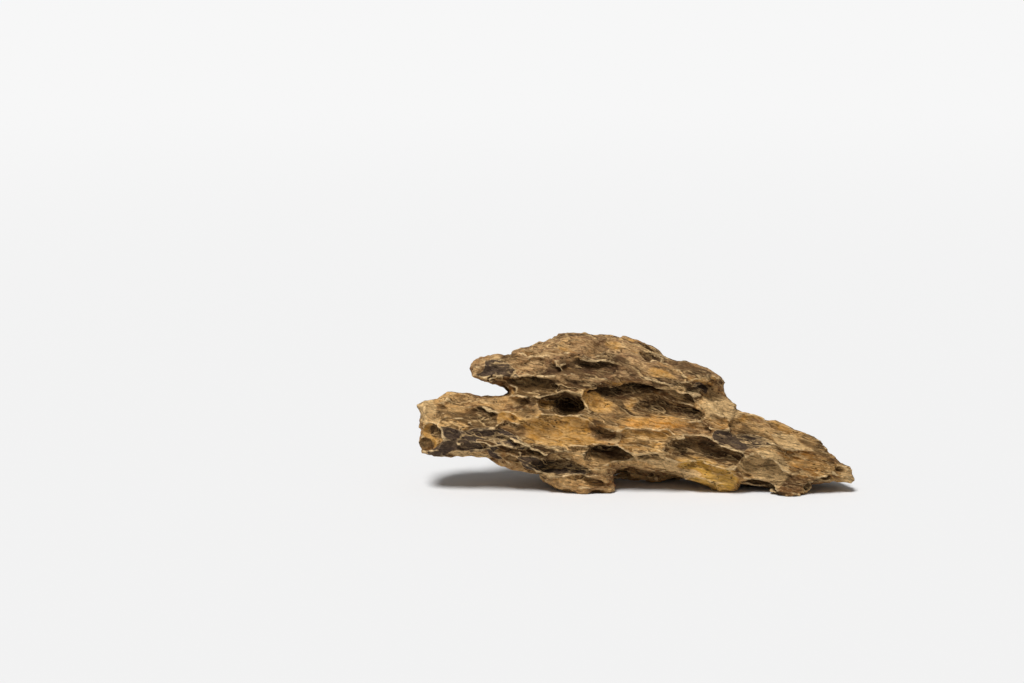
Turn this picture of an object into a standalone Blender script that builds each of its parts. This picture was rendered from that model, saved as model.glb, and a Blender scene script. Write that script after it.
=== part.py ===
"""Dragon stone: one weathered piece of layered rock, worn into long scoops and pits.

The stone is shaped as a field that is below zero inside it, in a frame that lies in its broad face:
u runs along the face, v climbs it and w goes into the stone, all in millimetres. The face leans back
by LEAN from the upright, and the feet are cut flat at z = 0.
"""

import math

import bmesh
import bpy
import numpy as np

LENGTH = 0.300  # from the blunt left end to the right tip, metres
DRAWN_LENGTH = 300.0  # the same length in the numbers below
LEAN = math.radians(10.0)
VOXEL = 2.0  # step of the grid, mm
TRIANGLES = 9300

# The block of space that the field fills, from and to, along u, v and w.
REACH = ((-158.0, 158.0), (-12.0, 120.0), (-34.0, 80.0))

# The lower slab, clockwise from the top of its left arm. The right tip is thin, and the underside
# rises between the feet.
LOWER_SLAB = (
    (-151, 61), (-145, 63), (-135, 63), (-131, 68), (-123, 69), (-116, 70), (-104, 67), (-95, 67),
    (-88, 69), (-96, 77), (-91, 86), (-52, 97), (3, 90), (44, 78), (61, 68), (70, 61), (70, 57),
    (98, 48), (124, 39), (130, 32), (141, 21), (145, 19), (149, 13), (150, 9), (148, 7), (134, 7),
    (120, 4), (115, -1), (107, -1), (91, 3), (71, 6), (68, 2), (60, 2), (53, 4), (38, 8), (8, 15),
    (-4, 17), (-13, 15), (-16, 11), (-18, 3), (-31, 0), (-40, 0), (-52, 3), (-62, 7), (-66, 13),
    (-87, 17), (-102, 24), (-109, 25), (-134, 24), (-147, 27), (-149, 35), (-145, 46), (-146, 52),
)
# The upper slab, clockwise from its left tip. Its lower edge stands over the pits.
UPPER_SLAB = (
    (-113, 80), (-112, 88), (-106, 94), (-91, 94), (-79, 100), (-71, 101), (-58, 105), (-52, 110),
    (-46, 111), (-30, 111), (-3, 107), (9, 103), (26, 93), (51, 87), (60, 80), (62, 77), (61, 67),
    (59, 63), (45, 65), (-10, 71), (-31, 70), (-68, 72), (-84, 74), (-90, 77), (-98, 74),
)

# Depth (w) of the broad face, of the rim and of the back at heights up the face (v).
LOWER_HEIGHTS = (0, 30, 52, 67, 77, 95)
LOWER_FACE = (-9, -15, -14, -11, -3, 8)
LOWER_RIM = (4, 7, 9, 12, 16, 26)
LOWER_BACK = (62, 64, 61, 58, 54, 48)
UPPER_HEIGHTS = (62, 80, 96, 112)
UPPER_FACE = (-13, -11, -4, 10)
UPPER_RIM = (10, 16, 26, 32)
UPPER_BACK = (50, 50, 46, 42)
LOWER_ROUNDING = 17.0
UPPER_ROUNDING = 13.0
# The back draws in towards both ends of the stone.
ENDS = (-150, -105, -40, 60, 115, 150)
BACK_FULLNESS = (0.42, 0.62, 1.0, 1.0, 0.72, 0.45)

# Lumps: u, v, w of the middle, then half sizes along u, v and w. The first six are the feet, and
# the last closes the underside behind the arch.
LUMPS = (
    (-36, 5, 6, 20, 7, 11),
    (62, 6, 9, 9, 6, 8),
    (106, 5, -1, 13, 8, 10),
    (-34, 24, 45, 34, 18, 15),
    (22, 24, 43, 34, 18, 12),
    (88, 20, 38, 26, 15, 13),
    (-40, 97, 24, 34, 10, 13),
    (-134, 47, 10, 15, 15, 20),
    (-97, 85, 9, 16, 8, 13),
    (12, 15, 32, 28, 9, 11),
)

FRONT, BACK, TOP, UNDER, LEFT, RIGHT = "front", "back", "top", "under", "left", "right"
# For each side: the axis that it faces along, its sense, and the two axes that lie in it.
SIDES = {
    FRONT: (2, -1, 0, 1),
    BACK: (2, 1, 0, 1),
    TOP: (1, 1, 0, 2),
    UNDER: (1, -1, 0, 2),
    LEFT: (0, -1, 2, 1),
    RIGHT: (0, 1, 2, 1),
}

# Scoops of the broad face: place (u, v), half length, half height, slope in degrees, depth, and how
# far the pit digs up behind its upper rim for each millimetre of depth.
UPPER_SCOOPS = (
    (-96, 88, 15, 6, 0, 3, 0),
    (-80, 94, 12, 3, 14, 2.5, 0),
    (-48, 103, 9, 3, 0, 3, 0.3),
    (-12, 101, 22, 4, -8, 3, 0.4),
    (-67, 88, 9, 6, 10, 3.5, 0.28),
    (25, 78, 14, 3.5, -14, 4.5, 0.48),
    (45, 73, 10, 4.5, -15, 5, 0.28),
    (54, 78, 7, 4.5, -30, 3, 0),
    (38, 67, 9, 3.5, -25, 9, 0.58),
    (-67, 96, 15, 3, 12, 2.5, 0.3),
    (-60, 84, 9, 3, 5, 3, 0.4),
    (-8, 87, 20, 3, -11, 2.5, 0.4),
    (4, 97, 12, 3, -14, 3, 0.4),
    (41, 80, 9, 3, -20, 3, 0.4),
    (50, 71, 8, 3, -20, 3, 0.4),
    (-84, 86, 8, 4, 5, 2.5, 0.2),
    (-38, 104, 14, 3, -3, 2.5, 0.3),
    (20, 96, 15, 3, -22, 2.5, 0.3),
    (34, 73, 9, 2.5, -14, 3, 0.5),
    (-72, 88, 12, 4, 4, 5, 0.5),
    (18, 82, 19, 3, -14, 5, 0.6),
    (-31, 86, 19, 4.5, -5, 8, 0.7),
)
PIT_SCOOPS = (
    (3, 61, 43, 13.5, -7, 13, 0.65),
    (-6, 71, 30, 4, -1, 6, 1.1),
    (28, 68, 14, 3.5, -12, 5, 1.0),
    (22, 58, 21, 7, -6, 7, 0.3),
    (-52, 61, 18, 8, -3, 18, 0.15),
    (-46, 61, 10, 6, -8, 8, 0.2),
    (-72, 61, 9, 7, -20, 8, 0.3),
    (-74, 72, 22, 5, 0, 13, 0.6),
    (-28, 64, 9, 4, -20, 4, 0.28),
    (-54, 43, 34, 11.5, -4, 8, 0.38),
    (-106, 50, 12, 4.5, 8, 9, 0.65),
    (-118, 57, 14, 6, -5, 4, 0.28),
    (-117, 65, 15, 4, 0, 3.5, 0.28),
    (-91, 63, 15, 4.5, -4, 4, 0.28),
    (-88, 52, 9, 4, -8, 4, 0.28),
    (-141, 55, 8, 7, -30, 3, 0),
    (-142.5, 38.5, 8.5, 9, -15, 8, 0.3),
    (-123, 38, 12, 5, -35, 3, 0),
    (-131, 30, 8, 3.5, 15, 2.5, 0),
    (-100, 40, 17, 5, -2, 5, 0.58),
    (-91, 33, 20, 3.5, -12, 9, 0.6),
    (-90, 27, 11, 4, -10, 4, 0.28),
    (-83, 21, 10, 3.5, -18, 3.5, 0.28),
    (-52, 17, 22, 7.5, -8, 9, 0.58),
    (-72, 27, 12, 3, -5, 6, 0.65),
    (-40, 28, 9, 4, -8, 4, 0.48),
    (-19, 25, 17, 7, -2, 15, 0.58),
    (-35, 8, 14, 3.5, -6, 3, 0.2),
    (-12, 14, 9, 4, -20, 4, 0.28),
    (5, 36, 23, 8.5, -4, 8, 0.38),
    (12, 24, 15, 4, -10, 4, 0.48),
    (47, 27, 27, 9, -13, 11, 0.58),
    (49, 12, 21, 8, -20, 6, 0.48),
    (25, 15, 14, 4, -16, 3, 0),
    (57, 48, 18, 6, -8, 6, 0.48),
    (35, 44, 14, 4, -12, 4, 0.48),
    (73, 36, 21, 6, -9, 7, 0.48),
    (86, 17, 12, 7, -30, 2.5, 0.2),
    (92, 28, 13, 4, -16, 4, 0.48),
    (93, 46, 24, 4, -17, 4, 0.48),
    (117, 37, 13, 4, -20, 3.5, 0.48),
    (132, 22, 9, 4, -35, 4, 0.48),
    (86, 6, 14, 3.5, -6, 6, 0.48),
    (112, 30, 8, 3, -18, 3, 0.3),
    (127, 28, 8, 3, -25, 3, 0.2),
    (141, 15, 6, 3.5, -30, 3, 0.1),
    (96, 38, 10, 3, -15, 3, 0.4),
    (82, 45, 8, 2.5, -12, 3, 0.4),
    (80, 26, 7, 3, -10, 3, 0.3),
    (64, 58, 9, 3, -20, 3, 0.3),
    (10, 48, 21, 3, -4, 2.5, 0.2),
    (-20, 41, 9, 3.5, -20, 3, 0.2),
    (-84, 45, 10, 3, -8, 3, 0.4),
    (-60, 31, 12, 2.5, -8, 3, 0.5),
    (-112, 32, 9, 3, 0, 3, 0.3),
    (-126, 47, 9, 3.5, -10, 3, 0.3),
    (-136, 60, 8, 3, -5, 2.5, 0.2),
    (118, 19, 24, 10, -15, 9, 0.45),
)
# Scoops that no one view settles: how many on each side, with their half lengths from and to. The
# large ones are cut after the skin is dished.
SMALL_SCOOPS = (
    (FRONT, 260, 2.5, 9.0),
    (BACK, 230, 2.5, 9.0),
    (TOP, 60, 3.0, 8.0),
    (UNDER, 60, 3.0, 8.0),
    (LEFT, 14, 3.0, 7.0),
    (RIGHT, 8, 3.0, 6.0),
)
LARGE_SCOOPS = (
    (BACK, 80, 7.0, 27.0),
    (TOP, 40, 6.0, 18.0),
    (UNDER, 36, 7.0, 20.0),
    (LEFT, 8, 6.0, 11.0),
    (RIGHT, 5, 4.0, 8.0),
)
THINNEST = 0.45  # no scoop is deeper than this share of the stone behind it

# The layers run down to the right and close up towards a far point on that side.
LAYER_APEX = (330.0, -30.0)
LAYER_REACH = 330.0
# Dishes worn all over the skin, with sharp crests where they meet: size along the layers, across
# them and into the stone, depth, and seed. The large scoops cut through the first two.
DISHES = (
    (30.0, 9.0, 13.0, 3.6, 11),
    (11.0, 4.0, 6.0, 2.0, 12),
)
LATE_DISHES = ((13.0, 4.5, 6.0, 0.7, 13),)
SKIN = 4.5  # the relief reaches this far from the surface, mm
WEAR = 0.2


def smooth_weights(places, cell):
    """Weights that blend the knots of a lattice, cell apart, at each place along one axis."""
    steps = places / cell
    low = np.floor(steps).astype(int)
    part = steps - low
    part = part * part * (3 - 2 * part)
    first = -64
    weights = np.zeros((len(places), 128))
    rows = np.arange(len(places))
    weights[rows, low - first] = 1 - part
    weights[rows, low - first + 1] = part
    return weights


def lattice_noise(axes, cells, seed):
    """Soft noise between -1 and 1 over the block spanned by two or three axes."""
    knots = np.random.default_rng(seed).uniform(-1, 1, (128,) * len(axes))
    for places, cell in zip(axes, cells):
        knots = np.tensordot(knots, smooth_weights(places, cell), axes=(0, 1))
    return knots


def point_noise(s, t, w, seed):
    """Soft noise between -1 and 1 at single points, from a lattice of 32 knots a side."""
    knots = np.random.default_rng(seed).uniform(-1, 1, (32, 32, 32))
    total = np.zeros_like(s)
    lows = [np.floor(x).astype(int) for x in (s, t, w)]
    parts = [x - low for x, low in zip((s, t, w), lows)]
    parts = [part * part * (3 - 2 * part) for part in parts]
    for corner in range(8):
        bits = (corner & 1, corner >> 1 & 1, corner >> 2 & 1)
        weight = 1.0
        for bit, part in zip(bits, parts):
            weight = weight * (part if bit else 1 - part)
        i, j, k = ((low + bit) % 32 for low, bit in zip(lows, bits))
        total += weight * knots[i, j, k]
    return total


def nearest_middle(s, t, w, seed):
    """Square of the distance to the nearest of the points strewn one to each unit cell."""
    middles = np.random.default_rng(seed).uniform(0.08, 0.92, (3, 32, 32, 32)).astype(np.float32)
    lows = [np.floor(x).astype(np.int32) for x in (s, t, w)]
    parts = [(x - low).astype(np.float32) for x, low in zip((s, t, w), lows)]
    nearest = np.full(s.shape, 9.0, np.float32)
    for step in np.ndindex(3, 3, 3):
        cell = tuple((low + move - 1) % 32 for low, move in zip(lows, step))
        gap = sum((middles[(axis, *cell)] + (step[axis] - 1) - parts[axis]) ** 2 for axis in range(3))
        nearest = np.minimum(nearest, gap)
    return nearest


def inside_distance(outline, u, v):
    """Distance from the outline, positive inside it, at a grid of points."""
    nearest = np.full(u.shape, np.inf)
    inside = np.zeros(u.shape, bool)
    for (u1, v1), (u2, v2) in zip(outline, outline[1:] + outline[:1]):
        du, dv = u2 - u1, v2 - v1
        along = np.clip(((u - u1) * du + (v - v1) * dv) / (du * du + dv * dv), 0, 1)
        nearest = np.minimum(nearest, np.hypot(u - u1 - along * du, v - v1 - along * dv))
        if v1 != v2:
            inside ^= ((v1 > v) != (v2 > v)) & (u < u1 + (v - v1) * du / dv)
    return np.where(inside, nearest, -nearest)


def slab(distance, face, rim, back, w, rounding):
    """Field of a slab whose edge is rounded from the rim forward to its face and back to its back."""
    edge = np.clip(rounding - distance, 0, None)[:, :, None]
    deep = w[None, None, :] - rim[:, :, None]
    thickness = np.where(deep < 0, (rim - face)[:, :, None], (back - rim)[:, :, None])
    flatness = rounding / thickness
    deep = deep * flatness
    radius = np.sqrt(edge**2 + deep**2) + 1e-6
    slope = np.sqrt(edge**2 + (deep * flatness) ** 2) + 1e-6
    return (radius - rounding) * radius / slope


def soft_min(a, b, blend):
    """The lesser of two fields, rounded where they meet."""
    near = np.clip(1 - np.abs(a - b) / blend, 0, None)
    return np.minimum(a, b) - near * near * blend / 4


class Block:
    """The field on a grid, and the ways to add to it and cut from it."""

    def __init__(self, voxel):
        self.voxel = voxel
        self.axes = [np.arange(low, high + voxel, voxel) for low, high in REACH]
        u, v, _ = self.axes
        self.u, self.v = np.meshgrid(u, v, indexing="ij")
        self.warp = [self.warping(seed) for seed in (1, 2, 3)]
        self.field = soft_min(self.lower_slab(), self.upper_slab(), 4.0)

    def warping(self, seed):
        """Shift of each point that makes the rims of scoops uneven."""
        broad = 2.6 * lattice_noise(self.axes, (15, 10, 12), seed)
        return (broad + 1.1 * lattice_noise(self.axes, (7, 4, 6), seed + 20)).astype(np.float32)

    def swell(self, cells, seed):
        return lattice_noise(self.axes[:2], cells, seed)

    def lower_slab(self):
        u, v = self.u, self.v
        face = np.interp(v, LOWER_HEIGHTS, LOWER_FACE) + 3.0 * self.swell((38, 20), 31)
        rim = np.interp(v, LOWER_HEIGHTS, LOWER_RIM) + 2.0 * self.swell((30, 60), 32)
        back = np.interp(v, LOWER_HEIGHTS, LOWER_BACK) + 6.0 * self.swell((44, 26), 33)
        back = rim + (back - rim) * np.interp(u, ENDS, BACK_FULLNESS)
        distance = inside_distance(LOWER_SLAB, u, v)
        return slab(distance, face, rim, back, self.axes[2], LOWER_ROUNDING)

    def upper_slab(self):
        u, v = self.u, self.v
        face = np.interp(v, UPPER_HEIGHTS, UPPER_FACE) + 2.5 * self.swell((34, 18), 34)
        rim = np.interp(v, UPPER_HEIGHTS, UPPER_RIM)
        back = np.interp(v, UPPER_HEIGHTS, UPPER_BACK) + 5.0 * self.swell((40, 26), 35)
        back = rim + (back - rim) * np.interp(u, ENDS, BACK_FULLNESS)
        distance = inside_distance(UPPER_SLAB, u, v)
        return slab(distance, face, rim, back, self.axes[2], UPPER_ROUNDING)

    def surface(self, side, p, q):
        """Where a line at (p, q) first meets the stone, and how much stone it crosses."""
        axis, sense, first, second = SIDES[side]
        at = [None, None, None]
        for where, value in ((first, p), (second, q)):
            at[where] = int(round((value - self.axes[where][0]) / self.voxel))
            if not 0 <= at[where] < len(self.axes[where]):
                return 0.0, 0.0
        at[axis] = slice(None)
        column = self.field[tuple(at)][:: -sense]
        places = self.axes[axis][:: -sense]
        hits = np.flatnonzero(column < 0)
        if not len(hits) or hits[0] == 0:
            return 0.0, 0.0
        i = hits[0]
        part = column[i - 1] / (column[i - 1] - column[i])
        return places[i - 1] + part * (places[i] - places[i - 1]), len(hits) * self.voxel

    def ellipsoid(self, centre, shape, warped):
        """Window round an ellipsoid and its field there. shape takes offsets to the unit ball."""
        spread = 1.25 * np.linalg.norm(np.linalg.inv(shape), axis=1) + 6
        window = []
        for axis, middle, half in zip(self.axes, centre, spread):
            window.append(slice(*np.searchsorted(axis, (middle - half, middle + half))))
        window = tuple(window)
        grid = np.meshgrid(*(axis[part] for axis, part in zip(self.axes, window)), indexing="ij")
        offset = np.stack([g - c for g, c in zip(grid, centre)], -1)
        if warped:
            offset += np.stack([shift[window] for shift in self.warp], -1)
        ball = offset @ shape.T
        radius = np.linalg.norm(ball, axis=-1) + 1e-6
        slope = np.linalg.norm(ball @ shape, axis=-1) + 1e-6
        return window, (radius - 1) * radius / slope

    def add_lump(self, u, v, w, *halves):
        window, lump = self.ellipsoid((u, v, w), np.diag(1 / np.array(halves, float)), True)
        self.field[window] = soft_min(self.field[window], lump, 5.0)

    def cut_scoop(self, side, p, q, half_length, half_height, slope, depth, dig):
        """Wear a scoop into a side, steeper the deeper it is for its size."""
        level, thickness = self.surface(side, p, q)
        if thickness < 4:
            return
        depth = min(depth, THINNEST * thickness)
        axis, sense, first, second = SIDES[side]
        steep = np.clip(depth / half_height, 0.25, 1.5)
        round_half = depth * (3.2 - 1.3 * steep)
        rim = math.sqrt(1 - (1 - depth / round_half) ** 2)
        turn = math.radians(slope)
        along, across, inward = np.zeros(3), np.zeros(3), np.zeros(3)
        along[[first, second]] = math.cos(turn), math.sin(turn)
        across[[first, second]] = -math.sin(turn), math.cos(turn)
        inward[axis] = -sense
        shape = np.array([
            along * rim / half_length,
            (across - dig * inward) * rim / half_height,
            inward / round_half,
        ])
        centre = np.zeros(3)
        centre[[axis, first, second]] = level, p, q
        centre += (depth - round_half) * (inward + dig * across)
        window, hollow = self.ellipsoid(centre, shape, True)
        self.field[window] = -soft_min(-self.field[window], hollow, 1.2)

    def cut_loose(self, side, count, least, most):
        for scoop in loose_scoops(side, count, least, most):
            self.cut_scoop(*scoop)

    def layer_places(self, u, v, w):
        """Place along the layers and across them."""
        s = np.hypot(LAYER_APEX[0] - u, v - LAYER_APEX[1])
        t = np.arctan2(v - LAYER_APEX[1], LAYER_APEX[0] - u) * LAYER_REACH
        return s, t + 0.2 * w

    def roughen(self, dishes):
        """Wear dishes into the skin, drawn out along the layers."""
        skin = np.nonzero(np.abs(self.field) < SKIN)
        u, v, w = (axis[i] for axis, i in zip(self.axes, skin))
        s, t = self.layer_places(u, v, w)
        sway = point_noise(s / 24, t / 13, w / 17, 7)
        bend = point_noise(s / 17, t / 9, w / 12, 8)
        change = np.zeros(len(u), np.float32)
        for along, across, into, depth, seed in dishes:
            places = (s + 9 * sway) / along, (t + 3.5 * bend) / across, w / into
            change += depth * (0.36 - np.minimum(nearest_middle(*places, seed), 1.0))
        self.field[skin] += change

    def wear(self, strength):
        """Wear away blades of rock that are thinner than the grid can hold."""
        for axis in range(3):
            beside = (np.roll(self.field, -1, axis) + np.roll(self.field, 1, axis)) / 2
            self.field += strength * (beside - self.field)


def loose_scoops(side, count, least, most):
    """Scoops spread evenly over a side in a fixed, uneven order."""
    _, _, first, second = SIDES[side]
    chance = np.random.default_rng(len(side) + count)
    scoops = []
    for i in range(1, count + 1):
        places = ((0.5 + i * 0.75488) % 1, (0.5 + i * 0.56984) % 1)
        p, q = (
            REACH[axis][0] + place * (REACH[axis][1] - REACH[axis][0])
            for axis, place in zip((first, second), places)
        )
        half_length = least + (most - least) * chance.random() ** 1.8
        half_height = half_length * chance.uniform(0.3, 0.5)
        slope = chance.normal(-11, 7) if side in (FRONT, BACK) else chance.normal(0, 14)
        depth = half_height * chance.uniform(0.5, 1.1)
        scoops.append((side, p, q, half_length, half_height, slope, depth, chance.uniform(0, 0.4)))
    return scoops


def stone_block(voxel):
    block = Block(voxel)
    for lump in LUMPS:
        block.add_lump(*lump)
    for scoops in SMALL_SCOOPS:
        block.cut_loose(*scoops)
    block.roughen(DISHES)
    for scoops in LARGE_SCOOPS:
        block.cut_loose(*scoops)
    for scoop in UPPER_SCOOPS + PIT_SCOOPS:
        block.cut_scoop(FRONT, *scoop)
    block.roughen(LATE_DISHES)
    block.wear(WEAR)
    return block


def settle_corners(solid):
    """Fill corners until no cell holds two separate bits of surface, so that the mesh closes."""
    while True:
        before = solid.sum()
        for axes in ((0, 1), (0, 2), (1, 2)):
            view = np.moveaxis(solid, axes, (0, 1))
            a, b, c, d = view[:-1, :-1], view[1:, :-1], view[:-1, 1:], view[1:, 1:]
            crossed = (a == d) & (b == c) & (a != b)
            for corner in (a, b, c, d):
                corner |= crossed
        corners = [
            solid[i : solid.shape[0] - 1 + i, j : solid.shape[1] - 1 + j, k : solid.shape[2] - 1 + k]
            for i in (0, 1) for j in (0, 1) for k in (0, 1)
        ]
        count = sum(corner.astype(np.int8) for corner in corners)
        for low in range(4):
            pair = corners[low] & corners[7 - low] & (count == 2)
            gap = ~corners[low] & ~corners[7 - low] & (count == 6)
            for corner in corners:
                corner |= pair | gap
        if solid.sum() == before:
            return solid


def skin_mesh(field):
    """Points, in grid steps, and quads of the surface where the field is zero."""
    solid = settle_corners(field < 0)
    field = np.where(solid, np.minimum(field, -0.02), np.maximum(field, 0.02))
    bits = [(i, j, k) for i in (0, 1) for j in (0, 1) for k in (0, 1)]
    nx, ny, nz = (n - 1 for n in field.shape)
    count = sum(solid[i : nx + i, j : ny + j, k : nz + k].astype(np.int8) for i, j, k in bits)
    cells = np.nonzero((count > 0) & (count < 8))
    number = np.full(count.shape, -1)
    number[cells] = np.arange(len(cells[0]))
    values = [field[cells[0] + i, cells[1] + j, cells[2] + k] for i, j, k in bits]
    total = np.zeros((len(cells[0]), 3))
    crossings = np.zeros(len(cells[0]))
    for a in range(8):
        for b in range(a + 1, 8):
            if sum(p != q for p, q in zip(bits[a], bits[b])) != 1:
                continue
            crossed = (values[a] < 0) != (values[b] < 0)
            part = values[a] / np.where(crossed, values[a] - values[b], 1)
            place = np.array(bits[a]) + part[:, None] * (np.array(bits[b]) - np.array(bits[a]))
            total += place * crossed[:, None]
            crossings += crossed
    points = np.stack(cells, -1) + total / crossings[:, None]
    quads = []
    for axis in range(3):
        j, k = (axis + 1) % 3, (axis + 2) % 3
        view = np.moveaxis(solid, (axis, j, k), (0, 1, 2))
        owner = np.moveaxis(number, (axis, j, k), (0, 1, 2))
        for leaving in (True, False):
            edge = view[:-1, 1:-1, 1:-1] if leaving else view[1:, 1:-1, 1:-1]
            other = view[1:, 1:-1, 1:-1] if leaving else view[:-1, 1:-1, 1:-1]
            x, y, z = np.nonzero(edge & ~other)
            ring = [owner[x, y, z], owner[x, y + 1, z], owner[x, y + 1, z + 1], owner[x, y, z + 1]]
            quads.append(np.stack(ring if leaving else ring[::-1], -1))
    return points, np.concatenate(quads)


def upright(block, points):
    """Points of the grid as metres in the world, with the face leaning back."""
    low = np.array([axis[0] for axis in block.axes])
    u, v, w = (low + points * block.voxel).T
    x = u
    y = v * math.sin(LEAN) + w * math.cos(LEAN)
    z = v * math.cos(LEAN) - w * math.sin(LEAN)
    return np.stack([x, y, z], -1) * LENGTH / DRAWN_LENGTH


def smooth_steps(mesh):
    """Ease out the steps of the grid."""
    for _ in range(2):
        bmesh.ops.smooth_vert(mesh, verts=mesh.verts[:], factor=0.4, use_axis_x=True, use_axis_y=True,
                              use_axis_z=True)


def keep_largest(mesh):
    """Leave only the largest connected shell."""
    unseen = set(mesh.verts)
    shells = []
    while unseen:
        shell, front = [], [unseen.pop()]
        while front:
            vert = front.pop()
            shell.append(vert)
            for edge in vert.link_edges:
                other = edge.other_vert(vert)
                if other in unseen:
                    unseen.remove(other)
                    front.append(other)
        shells.append(shell)
    shells.sort(key=len)
    bmesh.ops.delete(mesh, geom=[v for shell in shells[:-1] for v in shell], context="VERTS")


def cut_feet(mesh):
    """Cut the stone flat on the ground plane and close each foot."""
    everything = mesh.verts[:] + mesh.edges[:] + mesh.faces[:]
    cut = bmesh.ops.bisect_plane(
        mesh, geom=everything, dist=1e-6, plane_co=(0, 0, 0), plane_no=(0, 0, 1), clear_inner=True
    )
    rims = [item for item in cut["geom_cut"] if isinstance(item, bmesh.types.BMEdge)]
    bmesh.ops.holes_fill(mesh, edges=rims, sides=0)
    bmesh.ops.triangulate(mesh, faces=mesh.faces[:])
    bmesh.ops.recalc_face_normals(mesh, faces=mesh.faces[:])


def centre_on_origin(mesh):
    """Put the middle of the stone's bounding box over the origin."""
    for axis in (0, 1):
        places = [vert.co[axis] for vert in mesh.verts]
        middle = (min(places) + max(places)) / 2
        for vert in mesh.verts:
            vert.co[axis] -= middle


def stone_material():
    material = bpy.data.materials.new("weathered rock")
    material.use_nodes = True
    shader = material.node_tree.nodes["Principled BSDF"]
    shader.inputs["Base Color"].default_value = (0.30, 0.17, 0.07, 1.0)
    shader.inputs["Roughness"].default_value = 0.9
    return material


def edit(data, *steps):
    mesh = bmesh.new()
    mesh.from_mesh(data)
    for step in steps:
        step(mesh)
    mesh.to_mesh(data)
    mesh.free()


def thinned(data):
    """The mesh brought down to TRIANGLES."""
    stone = bpy.data.objects.new("full", data)
    bpy.context.scene.collection.objects.link(stone)
    decimate = stone.modifiers.new("thin", "DECIMATE")
    decimate.ratio = TRIANGLES / (2 * len(data.polygons))
    graph = bpy.context.evaluated_depsgraph_get()
    thin = bpy.data.meshes.new_from_object(stone.evaluated_get(graph))
    bpy.data.objects.remove(stone)
    return thin


def make_stone():
    block = stone_block(VOXEL)
    points, quads = skin_mesh(block.field)
    full = bpy.data.meshes.new("full")
    full.from_pydata(upright(block, points).tolist(), [], quads.tolist())
    edit(full, keep_largest, smooth_steps)
    data = thinned(full)
    data.name = "dragon_stone"
    edit(data, cut_feet, keep_largest, centre_on_origin)
    data.materials.clear()
    data.materials.append(stone_material())
    bpy.context.scene.collection.objects.link(bpy.data.objects.new("dragon_stone", data))


for item in list(bpy.data.objects):
    bpy.data.objects.remove(item)
make_stone()
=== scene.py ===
"""Dragon stone: the finished look of one weathered piece of layered rock.

The stone is shaped as the CAD part shapes it, as a field that is below zero inside it, on a finer
grid. The field lies in the stone's broad face: u runs along the face, v climbs it and w goes into
the stone, all in millimetres. The face leans back by LEAN, and the feet are cut flat at z = 0.
Fine relief then follows the layers, and the skin is coloured by what each place is: the inside of
a scoop or a worn rim, with shade painted into sheltered hollows, creases and pits.
"""

import math

import bmesh
import bpy
import numpy as np
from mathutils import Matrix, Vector


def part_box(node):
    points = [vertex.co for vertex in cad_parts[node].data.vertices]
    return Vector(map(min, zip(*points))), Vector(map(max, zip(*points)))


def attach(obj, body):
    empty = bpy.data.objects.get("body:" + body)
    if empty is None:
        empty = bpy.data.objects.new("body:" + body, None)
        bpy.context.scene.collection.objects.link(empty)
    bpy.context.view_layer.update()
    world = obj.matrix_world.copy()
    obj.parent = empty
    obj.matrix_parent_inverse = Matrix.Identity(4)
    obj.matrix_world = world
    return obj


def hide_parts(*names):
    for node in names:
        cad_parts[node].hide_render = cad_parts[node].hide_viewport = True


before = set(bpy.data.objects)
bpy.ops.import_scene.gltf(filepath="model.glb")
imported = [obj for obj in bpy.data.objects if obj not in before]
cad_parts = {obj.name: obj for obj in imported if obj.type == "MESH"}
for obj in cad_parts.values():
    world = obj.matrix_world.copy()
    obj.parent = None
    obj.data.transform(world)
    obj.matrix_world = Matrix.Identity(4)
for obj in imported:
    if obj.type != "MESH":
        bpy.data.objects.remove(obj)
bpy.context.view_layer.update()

LENGTH = 0.300  # from the blunt left end to the right tip, metres
DRAWN_LENGTH = 300.0  # the same length in the millimetres below
LEAN = math.radians(10.0)
NODE = "dragon_stone"
VOXEL = 0.8  # step of the grid, mm
TRIANGLES = 190000  # the skin is thinned to this many before its feet are cut

# The block of space that the field fills, from and to, along u, v and w.
REACH = ((-158.0, 158.0), (-12.0, 120.0), (-34.0, 80.0))

# The lower slab, clockwise from the top of its left arm. The right tip is thin, and the underside
# rises between the feet.
LOWER_SLAB = (
    (-151, 61), (-145, 63), (-135, 63), (-131, 68), (-123, 69), (-116, 70), (-104, 67), (-95, 67),
    (-88, 69), (-96, 77), (-91, 86), (-52, 97), (3, 90), (44, 78), (61, 68), (70, 61), (70, 57),
    (98, 48), (124, 39), (130, 32), (141, 21), (145, 19), (149, 13), (150, 9), (148, 7), (134, 7),
    (120, 4), (115, -1), (107, -1), (91, 3), (71, 6), (68, 2), (60, 2), (53, 4), (38, 8), (8, 15),
    (-4, 17), (-13, 15), (-16, 11), (-18, 3), (-31, 0), (-40, 0), (-52, 3), (-62, 7), (-66, 13),
    (-87, 17), (-102, 24), (-109, 25), (-134, 24), (-147, 27), (-149, 35), (-145, 46), (-146, 52),
)
# The upper slab, clockwise from its left tip. Its lower edge stands over the pits.
UPPER_SLAB = (
    (-113, 80), (-112, 88), (-106, 94), (-91, 94), (-79, 100), (-71, 101), (-58, 105), (-52, 110),
    (-46, 111), (-30, 111), (-3, 107), (9, 103), (26, 93), (51, 87), (60, 80), (62, 77), (61, 67),
    (59, 63), (45, 65), (-10, 71), (-31, 70), (-68, 72), (-84, 74), (-90, 77), (-98, 74),
)

# Heights up the face (v), and the depth (w) of the broad face, of the rim and of the back there.
LOWER_HEIGHTS = (0, 30, 52, 67, 77, 95)
LOWER_DEPTHS = (
    (-9, -15, -14, -11, -3, 8),
    (4, 7, 9, 12, 16, 26),
    (62, 64, 61, 58, 54, 48),
)
UPPER_HEIGHTS = (62, 80, 96, 112)
UPPER_DEPTHS = (
    (-13, -11, -4, 10),
    (10, 16, 26, 32),
    (50, 50, 46, 42),
)
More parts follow.
